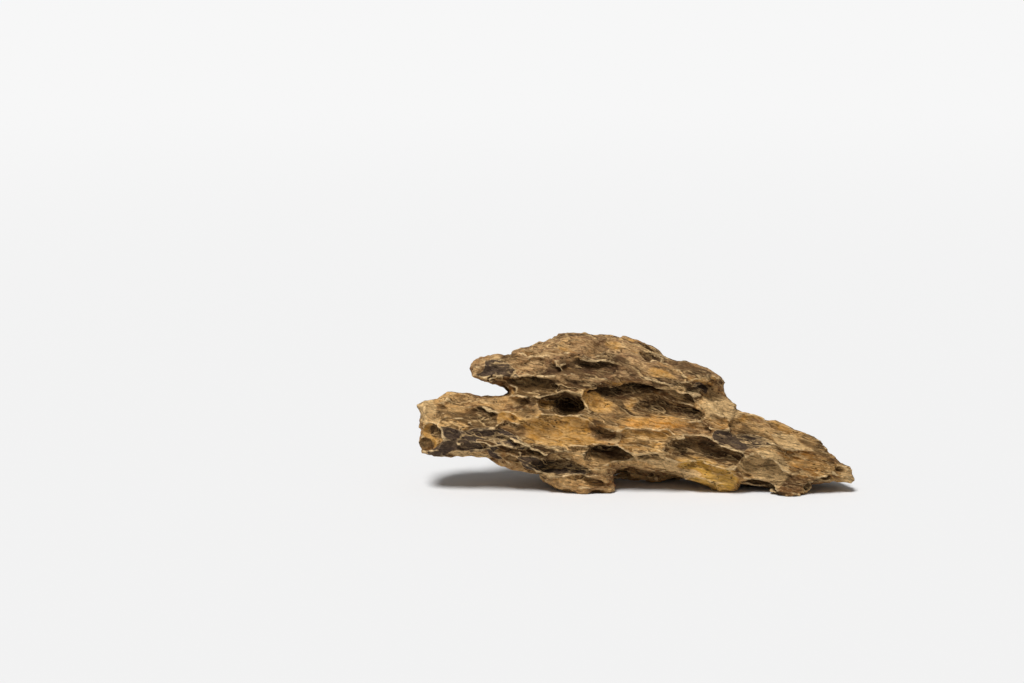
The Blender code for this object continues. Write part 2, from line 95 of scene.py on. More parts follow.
# How far the face, the rim and the back swell, the length of the swells along u and v, and seed.
LOWER_SWELLS = ((3.0, (38, 20), 31), (2.0, (30, 60), 32), (6.0, (44, 26), 33))
UPPER_SWELLS = ((2.5, (34, 18), 34), (0.0, (30, 60), 32), (5.0, (40, 26), 35))
LOWER_ROUNDING = 17.0
UPPER_ROUNDING = 13.0
# The back draws in towards both ends of the stone.
ENDS = (-150, -105, -40, 60, 115, 150)
BACK_FULLNESS = (0.42, 0.62, 1.0, 1.0, 0.72, 0.45)

# Where two forms meet, they blend over this length.
SLAB_BLEND = 4.0
LUMP_BLEND = 5.0
SCOOP_BLEND = 1.2

# Lumps: u, v, w of the middle, then half sizes along u, v and w. The first six are the feet, and
# the last closes the underside behind the arch.
LUMPS = (
    (-36, 5, 6, 20, 7, 11),
    (62, 6, 9, 9, 6, 8),
    (106, 5, -1, 13, 8, 10),
    (-34, 24, 45, 34, 18, 15),
    (22, 24, 43, 34, 18, 12),
    (88, 20, 38, 26, 15, 13),
    (-40, 97, 24, 34, 10, 13),
    (-134, 47, 10, 15, 15, 20),
    (-97, 85, 9, 16, 8, 13),
    (12, 15, 32, 28, 9, 11),
)

FRONT, BACK, TOP, UNDER, LEFT, RIGHT = "front", "back", "top", "under", "left", "right"
# For each side: the axis that it faces along, its sense, and the two axes that lie in it.
SIDES = {
    FRONT: (2, -1, 0, 1),
    BACK: (2, 1, 0, 1),
    TOP: (1, 1, 0, 2),
    UNDER: (1, -1, 0, 2),
    LEFT: (0, -1, 2, 1),
    RIGHT: (0, 1, 2, 1),
}

# Scoops of the broad face: place (u, v), half length, half height, slope in degrees, depth, and how
# far the pit digs up behind its upper rim for each millimetre of depth.
UPPER_SCOOPS = (
    (-96, 88, 15, 6, 0, 3, 0, "slate"),
    (-80, 94, 12, 3, 14, 2.5, 0, "brown"),
    (-48, 103, 9, 3, 0, 3, 0.3, "ochre"),
    (-12, 101, 22, 4, -8, 3, 0.4, "tan"),
    (-67, 88, 9, 6, 10, 3.5, 0.28, "tan"),
    (25, 78, 14, 3.5, -14, 4.5, 0.48, "olive"),
    (45, 73, 10, 4.5, -15, 5, 0.28, "slate"),
    (54, 78, 7, 4.5, -30, 3, 0, "ochre"),
    (38, 67, 9, 3.5, -25, 9, 0.58, "dark"),
    (-67, 96, 15, 3, 12, 2.5, 0.3, "tan"),
    (-60, 84, 9, 3, 5, 3, 0.4, "umber_and_shade"),
    (-8, 87, 20, 3, -11, 2.5, 0.4, "umber_and_shade"),
    (4, 97, 12, 3, -14, 3, 0.4, "tan"),
    (41, 80, 9, 3, -20, 3, 0.4, "brown"),
    (50, 71, 8, 3, -20, 3, 0.4, "cream"),
    (-84, 86, 8, 4, 5, 2.5, 0.2, "slate"),
    (-38, 104, 14, 3, -3, 2.5, 0.3, "brown"),
    (20, 96, 15, 3, -22, 2.5, 0.3, "umber_and_shade"),
    (34, 73, 9, 2.5, -14, 3, 0.5, "umber_and_shade"),
    (-72, 88, 12, 4, 4, 5, 0.5, "brown"),
    (18, 82, 19, 3, -14, 5, 0.6, "umber_and_shade"),
    (-31, 86, 19, 4.5, -5, 8, 0.7, "umber_and_shade"),
)
PIT_SCOOPS = (
    (3, 61, 43, 13.5, -7, 13, 0.65, "ochre"),
    (-6, 71, 30, 4, -1, 6, 1.1, "umber_and_shade"),
    (28, 68, 14, 3.5, -12, 5, 1.0, "umber_and_shade"),
    (22, 58, 21, 7, -6, 7, 0.3, "umber_and_shade"),
    (-52, 61, 18, 8, -3, 18, 0.15, "dark"),
    (-46, 61, 10, 6, -8, 8, 0.2, "dark"),
    (-72, 61, 9, 7, -20, 8, 0.3, "brown"),
    (-74, 72, 22, 5, 0, 13, 0.6, "umber_and_shade"),
    (-28, 64, 9, 4, -20, 4, 0.28, "ochre"),
    (-54, 43, 34, 11.5, -4, 8, 0.38, "ochre"),
    (-106, 50, 12, 4.5, 8, 9, 0.65, "dark"),
    (-118, 57, 14, 6, -5, 4, 0.28, "tan"),
    (-117, 65, 15, 4, 0, 3.5, 0.28, "brown"),
    (-91, 63, 15, 4.5, -4, 4, 0.28, "tan"),
    (-88, 52, 9, 4, -8, 4, 0.28, "ochre"),
    (-141, 55, 8, 7, -30, 3, 0, "cream"),
    (-142.5, 38.5, 8.5, 9, -15, 8, 0.3, "ochre"),
    (-123, 38, 12, 5, -35, 3, 0, "slate"),
    (-131, 30, 8, 3.5, 15, 2.5, 0, "slate"),
    (-100, 40, 17, 5, -2, 5, 0.58, "slate"),
    (-91, 33, 20, 3.5, -12, 9, 0.6, "dark"),
    (-90, 27, 11, 4, -10, 4, 0.28, "umber_and_shade"),
    (-83, 21, 10, 3.5, -18, 3.5, 0.28, "tan"),
    (-52, 17, 22, 7.5, -8, 9, 0.58, "umber_and_shade"),
    (-72, 27, 12, 3, -5, 6, 0.65, "dark"),
    (-40, 28, 9, 4, -8, 4, 0.48, "tan"),
    (-19, 25, 17, 7, -2, 15, 0.58, "umber_and_shade"),
    (-35, 8, 14, 3.5, -6, 3, 0.2, "tan"),
    (-12, 14, 9, 4, -20, 4, 0.28, "tan"),
    (5, 36, 23, 8.5, -4, 8, 0.38, "olive"),
    (12, 24, 15, 4, -10, 4, 0.48, "tan"),
    (47, 27, 27, 9, -13, 11, 0.58, "umber_and_shade"),
    (49, 12, 21, 8, -20, 6, 0.48, "yellow"),
    (25, 15, 14, 4, -16, 3, 0, "tan"),
    (57, 48, 18, 6, -8, 6, 0.48, "russet"),
    (35, 44, 14, 4, -12, 4, 0.48, "tan"),
    (73, 36, 21, 6, -9, 7, 0.48, "slate"),
    (86, 17, 12, 7, -30, 2.5, 0.2, "cream"),
    (92, 28, 13, 4, -16, 4, 0.48, "brown"),
    (93, 46, 24, 4, -17, 4, 0.48, "ochre"),
    (117, 37, 13, 4, -20, 3.5, 0.48, "cream"),
    (132, 22, 9, 4, -35, 4, 0.48, "umber_and_shade"),
    (86, 6, 14, 3.5, -6, 6, 0.48, "dark"),
    (112, 30, 8, 3, -18, 3, 0.3, "cream"),
    (127, 28, 8, 3, -25, 3, 0.2, "brown"),
    (141, 15, 6, 3.5, -30, 3, 0.1, "ochre"),
    (96, 38, 10, 3, -15, 3, 0.4, "dark"),
    (82, 45, 8, 2.5, -12, 3, 0.4, "umber_and_shade"),
    (80, 26, 7, 3, -10, 3, 0.3, "tan"),
    (64, 58, 9, 3, -20, 3, 0.3, "cream"),
    (10, 48, 21, 3, -4, 2.5, 0.2, "orange"),
    (-20, 41, 9, 3.5, -20, 3, 0.2, "cream"),
    (-84, 45, 10, 3, -8, 3, 0.4, "umber_and_shade"),
    (-60, 31, 12, 2.5, -8, 3, 0.5, "dark"),
    (-112, 32, 9, 3, 0, 3, 0.3, "umber_and_shade"),
    (-126, 47, 9, 3.5, -10, 3, 0.3, "brown"),
    (-136, 60, 8, 3, -5, 2.5, 0.2, "tan"),
    (118, 19, 24, 10, -15, 9, 0.45, "russet"),
)
# Ovals of colour on the broad face: place (u, v), half length, half height, slope and tint. The dark
# and umber ones are partly dark rock and partly shade painted into pits, under rims and ledges.
OVALS = (
    (-94, 87, 11, 5.5, 0, "slate"),
    (-121, 37, 14, 5.5, -25, "slate"),
    (-133, 30, 11, 3.5, 14, "slate"),
    (-114, 27, 14, 2.5, -8, "cream"),
    (-102, 41, 14, 4.5, -10, "bark"),
    (-104, 42, 7, 3, -10, "slate"),
    (-97, 28, 7, 3.5, -35, "slate"),
    (-66, 20, 14, 4, -16, "slate"),
    (-50, 17, 19, 5, -8, "bark"),
    (-118, 52, 10, 3.5, -10, "dark"),
    (-137, 42, 3, 5, 20, "dark"),
    (-30, 88, 21, 6, -6, "umber_and_shade"),
    (-38, 88, 12, 3.5, 4, "dark"),
    (-16, 92, 10, 3, -10, "dark"),
    (20, 92, 8, 3, -20, "umber_and_shade"),
    (-36, 74, 24, 3, -2, "dark"),
    (8, 74, 16, 2.5, 0, "umber_and_shade"),
    (24, 58, 19, 6.5, -5, "umber_and_shade"),
    (46, 28, 24, 7, -13, "umber_and_shade"),
    (78, 37, 15, 5, -14, "bark"),
    (48, 12, 22, 10, -24, "yellow"),
    (118, 20, 22, 8, -16, "russet"),
    (86, 18, 11, 8, -25, "cream"),
    (62, 58, 11, 6, -25, "cream"),
    (27, 71, 8, 4, -20, "cream"),
    (-18, 43, 8, 6, -40, "cream"),
    (-143, 56, 8, 8, 0, "cream"),
    (-120, 62, 12, 4, -5, "tan"),
    (144, 12, 5, 6, -30, "cream"),
    (43, 79, 12, 4, -18, "ochre"),
    (44, 71, 6, 3, -25, "slate"),
    (38, 67, 6, 3, -25, "dark"),
    (0, 84, 22, 3, -10, "umber_and_shade"),
    (-74, 91, 12, 5, 8, "tan"),
    (-108, 89, 5, 6, 20, "tan"),
    (-88, 93, 7, 3, 0, "umber_and_shade"),
    (34, 86, 18, 4, -24, "umber_and_shade"),
    (-68, 72, 16, 5, -3, "umber_and_shade"),
    (-58, 64, 12, 4, -8, "umber_and_shade"),
    (-6, 51, 15, 5, -28, "umber_and_shade"),
    (-22, 46, 8, 9, 0, "umber_and_shade"),
    (-105, 54, 10, 5, 0, "dark"),
    (-131, 54, 5, 5, -30, "umber_and_shade"),
    (-74, 66, 6, 5, -50, "dark"),
    (-59, 62, 6, 4, 0, "ochre"),
    (-64, 67, 14, 2.5, -3, "dark"),
    (-76, 56, 8, 3, -10, "umber_and_shade"),
    (-88, 35, 16, 4, -18, "bark"),
    (10, 25, 17, 5, -12, "cream"),
    (93, 19, 14, 8, -28, "cream"),
    (101, 36, 10, 4, -30, "cream"),
    (51, 58, 9, 7, -20, "cream"),
    (55, 66, 7, 4, -30, "cream"),
    (-27, 56, 9, 4, -15, "umber_and_shade"),
    (-9, 59, 14, 2.4, -40, "dark"),
    (-5, 53, 9, 2.5, -20, "umber_and_shade"),
    (-26, 62, 8, 5, -15, "ochre"),
    (88, 46, 12, 3.5, -17, "tan"),
    (121, 34, 13, 4, -30, "umber_and_shade"),
    (33, 15, 11, 3, -15, "cream"),
    (12, 48.5, 23, 4, -3, "orange"),
    (-34, 100, 11, 3, -5, "tan"),
    (18, 82, 9, 3, -25, "ochre"),
    (-15, 101, 6, 3, -20, "ochre"),
    (22, 77, 10, 2.5, -10, "dark"),
    (45, 83, 6, 2.5, -15, "dark"),
    (-88, 25, 10, 2.5, -25, "tan"),
)
# Loose scoops, in no set place: how many on each side, with their half lengths from and to. The
# large ones are cut after the skin is dished.
SMALL_SCOOPS = (
    (FRONT, 260, 2.5, 9.0),
    (BACK, 230, 2.5, 9.0),
    (TOP, 60, 3.0, 8.0),
    (UNDER, 60, 3.0, 8.0),
    (LEFT, 14, 3.0, 7.0),
    (RIGHT, 8, 3.0, 6.0),
)
LARGE_SCOOPS = (
    (BACK, 80, 7.0, 27.0),
    (TOP, 40, 6.0, 18.0),
    (UNDER, 36, 7.0, 20.0),
    (LEFT, 8, 6.0, 11.0),
    (RIGHT, 5, 4.0, 8.0),
)
OVAL_DEPTH = 24.0  # the ovals colour the rock in front of this depth (w)
THINNEST = 0.45  # no scoop is deeper than this share of the stone behind it
LEAST_STONE = 4.0  # and none is cut where the stone is thinner than this
# A scoop is the end of a ball whose half size into the stone is this many times the scoop's depth,
# and less the steeper the scoop is. Its steepness, depth for half height, has two limits.
BALL_REACH = 3.2
BALL_LESS = 1.3
STEEPNESS = (0.25, 1.5)
# Loose scoops again: the steps that spread them evenly over a side, how far small ones outnumber
# large ones, half height as a share of half length, depth as a share of half height, how far they
# dig up, and the middle and spread of their slopes on the broad sides and on the others.
STRIDES = (0.75488, 0.56984)
FEW_LARGE = 1.8
LOOSE_HEIGHTS = (0.3, 0.5)
LOOSE_DEPTHS = (0.5, 1.1)
LOOSE_DIGS = (0, 0.4)
BROAD_SLOPES = (-11, 7)
OTHER_SLOPES = (0, 14)
# The rims are uneven: how far a place is shifted, the length of the shifts along u, v and w, and
# what is added to the seed.
WARPS = ((2.6, (15, 10, 12), 0), (1.1, (7, 4, 6), 20))
# The colour of a scoop ends this far into the rock behind it, and fades over this length.
TINGE_REACH = 2.2
TINGE_FADE = 1.6
# An oval's colour ends at this many times its half sizes, and fades over this share of them.
OVAL_EDGE = 1.3
OVAL_FADE = 0.5

# The layers run down to the right and close up towards a far point on that side.
LAYER_APEX = (330.0, -30.0)
LAYER_REACH = 330.0
LAYER_TILT = 0.2  # how far they fall for each millimetre into the stone
# The layers sway: length of the waves along, across and into them, how far they shift, and seed.
SWAY = (24, 13, 17, 9, 7)
BEND = (17, 9, 12, 3.5, 8)
# Dishes worn all over the skin, with sharp crests where they meet: size along the layers, across
# them and into the stone, depth, and seed. The large scoops cut through the first two.
DISHES = (
    (30.0, 9.0, 13.0, 3.6, 11),
    (11.0, 4.0, 6.0, 2.0, 12),
)
LATE_DISHES = ((13.0, 4.5, 6.0, 0.7, 13),)
DISH_LEVEL = 0.36  # share of a dish's depth that is cut below the old skin; its crests stand above
SKIN = 4.5  # the dishes reach this far from the surface, mm
WEAR = 0.2  # share by which each place is evened out with what lies beside it
SMOOTHING = 0.4
ROCK_EDGE = 1.5  # a place turns from air to rock over this many steps of the grid
RIDGE_REACH = 0.9  # how far round a place its sharpness is judged, mm
HOLLOW_REACH = 6.0  # and how far round it is judged to lie in a hollow
# The fine relief: heights in metres, and the spacing of the ledges in millimetres.
RELIEF = {"Ledge height": 0.0005, "Ledge spacing": 4.5, "Grain height": 0.0004, "Seed": 3.0}
BUMP_HEIGHT = 0.0011  # of what is finer still, metres

# Colour channels of the rock; the dark one also carries shade painted into pits and under rims.
STAINS_AND_SHADE = ("dark", "slate", "ochre", "orange", "pale")
LOBE_FADE = 8.0  # the upper slab's own colour fades out over this length
# What colours the inside of a scoop, as shares of the channels above; the dark and umber tints also
# paint shade into the pit.
TINTS = {
    "dark": (1.0, 0.0, 0.0, 0.0, 0.0),
    "umber_and_shade": (0.62, 0.15, 0.15, 0.0, 0.0),
    "slate": (0.25, 1.1, 0.0, 0.0, 0.0),
    "ochre": (0.05, 0.0, 0.75, 0.08, 0.0),
    "yellow": (0.0, 0.0, 1.6, 0.0, 0.0),
    "olive": (0.25, 0.1, 0.6, 0.0, 0.0),
    "orange": (0.0, 0.0, 0.5, 0.8, 0.0),
    "rusty": (0.3, 0.0, 0.3, 0.4, 0.1),
    "russet": (0.4, 0.0, 0.35, 0.5, 0.0),
    "bark": (0.5, 0.5, 0.1, 0.1, 0.0),
    "tan": (0.0, 0.0, 0.1, 0.0, 0.35),
    "brown": (0.4, 0.0, 0.2, 0.1, 0.0),
    "cream": (0.0, 0.0, 0.1, 0.0, 0.9),
}
LOOSE_TINTS = ("tan", "brown", "umber_and_shade", "ochre", "tan", "umber_and_shade", "olive", "dark", "rusty", "brown")

# The light, the floor and the camera. Lengths are in metres where no other unit is given.
LIGHT_FROM = (-0.25, -0.55, 1.0)  # as seen from the stone
LIGHT_STRENGTH = 3.7
LIGHT_SPREAD = math.radians(22.0)
WORLD_STRENGTH = 0.22
# Grey of the floor near the stone and far from it, and the distances between which it changes.
FLOOR_NEAR, FLOOR_FAR = 0.725, 0.757
FLOOR_FROM, FLOOR_TO = 0.3, 4.0
FLOOR_HALF = 40.0
FLOOR_GAP = 0.0002  # between the floor and the feet
SENSOR = 36.0  # mm
CAMERA_DISTANCE = 1.5
VIEW_WIDTH = 0.7014  # what the camera takes in at that distance
VIEW_MIDDLE = (-84.9, 104.1)  # where it looks, as u and v, mm
DRAWN_MIDDLE = (-0.2, 30.0)  # along x and y, mm, where the stone has its middle as drawn

LATTICE = 128  # knots a side of a noise that spans the block
KNOTS = 32  # knots a side of a noise that repeats
CORNERS = tuple(np.ndindex(2, 2, 2))  # of a cell of the grid
LEAST_FIELD = 0.02  # the field keeps this far from zero at the grid's points, mm
TINY = 1e-6
# A ball's field is worked out this many times its half size from its middle, and this much more.
WIDER = 1.25
MARGIN = 6


def eased(part):
    """A share from 0 to 1, easing at both ends."""
    return part * part * (3 - 2 * part)


def smooth_weights(places, cell):
    """Weights that blend the knots of a lattice, cell apart, at each place along one axis."""
    steps = places / cell
    low = np.floor(steps).astype(int)
    part = eased(steps - low)
    first = -LATTICE // 2
    weights = np.zeros((len(places), LATTICE))
    rows = np.arange(len(places))
    weights[rows, low - first] = 1 - part
    weights[rows, low - first + 1] = part
    return weights


def lattice_noise(axes, cells, seed):
    """Soft noise between -1 and 1 over the block spanned by two or three axes."""
    knots = np.random.default_rng(seed).uniform(-1, 1, (LATTICE,) * len(axes))
    for places, cell in zip(axes, cells):
        knots = np.tensordot(knots, smooth_weights(places, cell), axes=(0, 1))
    return knots


def corner_weights(parts):
    """The eight corners of a cell, each with its weight at a place inside the cell."""
    for corner in range(8):
        bits = (corner & 1, corner >> 1 & 1, corner >> 2 & 1)
        weight = 1.0
        for bit, part in zip(bits, parts):
            weight = weight * (part if bit else 1 - part)
        yield bits, weight


def point_noise(places, seed):
    """Soft noise between -1 and 1 at single points."""
    knots = np.random.default_rng(seed).uniform(-1, 1, (KNOTS,) * 3)
    total = np.zeros_like(places[0])
    lows = [np.floor(x).astype(int) for x in places]
    for bits, weight in corner_weights([eased(x - low) for x, low in zip(places, lows)]):
        i, j, k = ((low + bit) % KNOTS for low, bit in zip(lows, bits))
        total += weight * knots[i, j, k]
    return total


def nearest_middle(places, seed):
    """Square of the distance to the nearest of the points strewn one to each unit cell."""
    middles = np.random.default_rng(seed).uniform(0.08, 0.92, (3, KNOTS, KNOTS, KNOTS))
    middles = middles.astype(np.float32)
    lows = [np.floor(x).astype(np.int32) for x in places]
    parts = [(x - low).astype(np.float32) for x, low in zip(places, lows)]
    nearest = np.full(places[0].shape, 9.0, np.float32)
    for step in np.ndindex(3, 3, 3):
        cell = tuple((low + move - 1) % KNOTS for low, move in zip(lows, step))
        gap = sum((middles[(axis, *cell)] + (step[axis] - 1) - parts[axis]) ** 2 for axis in range(3))
        nearest = np.minimum(nearest, gap)
    return nearest


def inside_distance(outline, u, v):
    """Distance from the outline, positive inside it, at a grid of points."""
    nearest = np.full(u.shape, np.inf)
    inside = np.zeros(u.shape, bool)
    for (u1, v1), (u2, v2) in zip(outline, outline[1:] + outline[:1]):
        du, dv = u2 - u1, v2 - v1
        along = np.clip(((u - u1) * du + (v - v1) * dv) / (du * du + dv * dv), 0, 1)
        nearest = np.minimum(nearest, np.hypot(u - u1 - along * du, v - v1 - along * dv))
        if v1 != v2:
            inside ^= ((v1 > v) != (v2 > v)) & (u < u1 + (v - v1) * du / dv)
    return np.where(inside, nearest, -nearest)


def soft_min(a, b, blend):
    """The lesser of two fields, rounded where they meet."""
    near = np.clip(1 - np.abs(a - b) / blend, 0, None)
    return np.minimum(a, b) - near * near * blend / 4


class Block:
    """The field on a grid, and the ways to add to it and cut from it."""

    def __init__(self, voxel):
        self.voxel = voxel
        self.axes = [np.arange(low, high + voxel, voxel) for low, high in REACH]
        u, v, _ = self.axes
        self.u, self.v = np.meshgrid(u, v, indexing="ij")
        self.warp = [self.warping(seed) for seed in (1, 2, 3)]
        lower = self.slab(LOWER_SLAB, LOWER_HEIGHTS, LOWER_DEPTHS, LOWER_SWELLS, LOWER_ROUNDING)
        upper = self.slab(UPPER_SLAB, UPPER_HEIGHTS, UPPER_DEPTHS, UPPER_SWELLS, UPPER_ROUNDING)
        self.field = soft_min(lower, upper, SLAB_BLEND)
        self.stain_and_shade = np.zeros((*self.field.shape, len(STAINS_AND_SHADE)), np.float32)
        self.lobe = np.clip(0.5 + (lower - upper) / LOBE_FADE, 0, 1).astype(np.float32)

    def warping(self, seed):
        """Shift of each point that makes the rims of scoops uneven."""
        broad, fine = (
            size * lattice_noise(self.axes, cells, seed + step) for size, cells, step in WARPS
        )
        return (broad + fine).astype(np.float32)

    def slab(self, outline, heights, depths, swells, rounding):
        """Field of a slab whose edge is rounded from its rim to its face and to its back."""
        face, rim, back = (
            np.interp(self.v, heights, depth) + size * lattice_noise(self.axes[:2], cells, seed)
            for depth, (size, cells, seed) in zip(depths, swells)
        )
        back = rim + (back - rim) * np.interp(self.u, ENDS, BACK_FULLNESS)
        edge = np.clip(rounding - inside_distance(outline, self.u, self.v), 0, None)[:, :, None]
        deep = self.axes[2] - rim[:, :, None]
        thickness = np.where(deep < 0, (rim - face)[:, :, None], (back - rim)[:, :, None])
        flatness = rounding / thickness
        deep = deep * flatness
        radius = np.sqrt(edge**2 + deep**2) + TINY
        slope = np.sqrt(edge**2 + (deep * flatness) ** 2) + TINY
        return (radius - rounding) * radius / slope

    def surface(self, side, p, q):
        """Where a line at (p, q) first meets the stone, and how much stone it crosses."""
        axis, sense, first, second = SIDES[side]
        at = [None, None, None]
        for where, value in ((first, p), (second, q)):
            at[where] = int(round((value - self.axes[where][0]) / self.voxel))
            if not 0 <= at[where] < len(self.axes[where]):
                return 0.0, 0.0
        at[axis] = slice(None)
        column = self.field[tuple(at)][:: -sense]
        places = self.axes[axis][:: -sense]
        hits = np.flatnonzero(column < 0)
        if not len(hits) or hits[0] == 0:
            return 0.0, 0.0
        i = hits[0]
        part = column[i - 1] / (column[i - 1] - column[i])
        return places[i - 1] + part * (places[i] - places[i - 1]), len(hits) * self.voxel

    def ellipsoid(self, centre, shape):
        """Window round an uneven ellipsoid, and its field. shape takes offsets to the unit ball."""
        spread = WIDER * np.linalg.norm(np.linalg.inv(shape), axis=1) + MARGIN
        window = []
        for axis, middle, half in zip(self.axes, centre, spread):
            window.append(slice(*np.searchsorted(axis, (middle - half, middle + half))))
        window = tuple(window)
        grid = np.meshgrid(*(axis[part] for axis, part in zip(self.axes, window)), indexing="ij")
        offset = np.stack([g - c for g, c in zip(grid, centre)], -1)
        offset += np.stack([shift[window] for shift in self.warp], -1)
        ball = offset @ shape.T
        radius = np.linalg.norm(ball, axis=-1) + TINY
        slope = np.linalg.norm(ball @ shape, axis=-1) + TINY
        return window, (radius - 1) * radius / slope

    def add_lump(self, u, v, w, *halves):
        window, lump = self.ellipsoid((u, v, w), np.diag(1 / np.array(halves, float)))
        self.field[window] = soft_min(self.field[window], lump, LUMP_BLEND)

    def cut_scoop(self, side, p, q, half_length, half_height, slope, depth, dig, tint):
        """Wear a scoop into a side, steeper the deeper it is for its size."""
        level, thickness = self.surface(side, p, q)
        if thickness < LEAST_STONE:
            return
        depth = min(depth, THINNEST * thickness)
        axis, sense, first, second = SIDES[side]
        round_half = depth * (BALL_REACH - BALL_LESS * np.clip(depth / half_height, *STEEPNESS))
        rim = math.sqrt(1 - (1 - depth / round_half) ** 2)
        turn = math.radians(slope)
        along, across, inward = np.zeros(3), np.zeros(3), np.zeros(3)
        along[[first, second]] = math.cos(turn), math.sin(turn)
        across[[first, second]] = -math.sin(turn), math.cos(turn)
        inward[axis] = -sense
        shape = np.array([
            along * rim / half_length,
            (across - dig * inward) * rim / half_height,
            inward / round_half,
        ])
        centre = np.zeros(3)
        centre[[axis, first, second]] = level, p, q
        centre += (depth - round_half) * (inward + dig * across)
        window, hollow = self.ellipsoid(centre, shape)
        self.field[window] = -soft_min(-self.field[window], hollow, SCOOP_BLEND)
        self.tinge(window, np.clip((TINGE_REACH - hollow) / TINGE_FADE, 0, 1), tint)

    def tinge(self, window, share, tint):
        """Colour the rock in a window, by a share for each place."""
        old = self.stain_and_shade[window]
        self.stain_and_shade[window] = old + share[..., None] * (np.array(TINTS[tint]) - old)

    def stain_and_shade_oval(self, u, v, half_length, half_height, slope, tint):
        """Colour an oval of the broad face, fading at its uneven edge."""
        turn = math.radians(slope)
        front = slice(0, np.searchsorted(self.axes[2], OVAL_DEPTH))
        across_u = (self.u - u)[..., None] + self.warp[0][..., front]
        across_v = (self.v - v)[..., None] + 0.6 * self.warp[1][..., front]
        along = across_u * math.cos(turn) + across_v * math.sin(turn)
        across = across_v * math.cos(turn) - across_u * math.sin(turn)
        out = np.hypot(along / half_length, across / half_height)
        share = np.clip((OVAL_EDGE - out) / OVAL_FADE, 0, 1)
        self.tinge((slice(None), slice(None), front), share, tint)

    def cut_loose(self, side, count, least, most):
        for scoop in loose_scoops(side, count, least, most):
            self.cut_scoop(*scoop)

    def layer_places(self, u, v, w):
        """Place along the layers and across them."""
        s = np.hypot(LAYER_APEX[0] - u, v - LAYER_APEX[1])
        t = np.arctan2(v - LAYER_APEX[1], LAYER_APEX[0] - u) * LAYER_REACH
        return s, t + LAYER_TILT * w

    def roughen(self, dishes):
        """Wear dishes into the skin, drawn out along the layers."""
        skin = np.nonzero(np.abs(self.field) < SKIN)
        u, v, w = (axis[i] for axis, i in zip(self.axes, skin))
        s, t = self.layer_places(u, v, w)
        shifts = []
        for along, across, into, size, seed in (SWAY, BEND):
            shifts.append(size * point_noise((s / along, t / across, w / into), seed))
        change = np.zeros(len(u), np.float32)
        for along, across, into, depth, seed in dishes:
            places = (s + shifts[0]) / along, (t + shifts[1]) / across, w / into
            change += depth * (DISH_LEVEL - np.minimum(nearest_middle(places, seed), 1.0))
        self.field[skin] += change

    def wear(self, strength):
        """Wear away blades of rock that are thinner than the grid can hold."""
        for axis in range(3):
            beside = (np.roll(self.field, -1, axis) + np.roll(self.field, 1, axis)) / 2
            self.field += strength * (beside - self.field)


def loose_scoops(side, count, least, most):
    """Scoops spread evenly over a side in a fixed, uneven order."""
    _, _, first, second = SIDES[side]
    chance = np.random.default_rng(len(side) + count)
    scoops = []
    for i in range(1, count + 1):
        p, q = (
            REACH[axis][0] + (0.5 + i * stride) % 1 * (REACH[axis][1] - REACH[axis][0])
            for axis, stride in zip((first, second), STRIDES)
        )
        half_length = least + (most - least) * chance.random() ** FEW_LARGE
        half_height = half_length * chance.uniform(*LOOSE_HEIGHTS)
        slope = chance.normal(*(BROAD_SLOPES if side in (FRONT, BACK) else OTHER_SLOPES))
        depth = half_height * chance.uniform(*LOOSE_DEPTHS)
        dig = chance.uniform(*LOOSE_DIGS)
        tint = LOOSE_TINTS[i * 7 % len(LOOSE_TINTS)]
        scoops.append((side, p, q, half_length, half_height, slope, depth, dig, tint))
    return scoops


def stone_block(voxel):
    """The stone's field, from its slabs to the last wear of its skin."""
    block = Block(voxel)
    for lump in LUMPS:
        block.add_lump(*lump)
    for scoops in SMALL_SCOOPS:
        block.cut_loose(*scoops)
    block.roughen(DISHES)
    for scoops in LARGE_SCOOPS:
        block.cut_loose(*scoops)
    for scoop in UPPER_SCOOPS + PIT_SCOOPS:
        block.cut_scoop(FRONT, *scoop)
    for oval in OVALS:
        block.stain_and_shade_oval(*oval)
    block.roughen(LATE_DISHES)
    block.wear(WEAR)
    return block


def corner_views(grid):
    """The grid as each corner of its cells sees it."""
    nx, ny, nz = (n - 1 for n in grid.shape)
    return [grid[i : nx + i, j : ny + j, k : nz + k] for i, j, k in CORNERS]


def settle_corners(solid):
    """Fill corners until no cell holds two separate bits of surface, so that the mesh closes."""
    while True:
        before = solid.sum()
        for axes in ((0, 1), (0, 2), (1, 2)):
            view = np.moveaxis(solid, axes, (0, 1))
            a, b, c, d = view[:-1, :-1], view[1:, :-1], view[:-1, 1:], view[1:, 1:]
            crossed = (a == d) & (b == c) & (a != b)
            for corner in (a, b, c, d):
                corner |= crossed
        corners = corner_views(solid)
        count = sum(corner.astype(np.int8) for corner in corners)
        for low in range(4):
            pair = corners[low] & corners[7 - low] & (count == 2)
            gap = ~corners[low] & ~corners[7 - low] & (count == 6)
            for corner in corners:
                corner |= pair | gap
        if solid.sum() == before:
            return solid


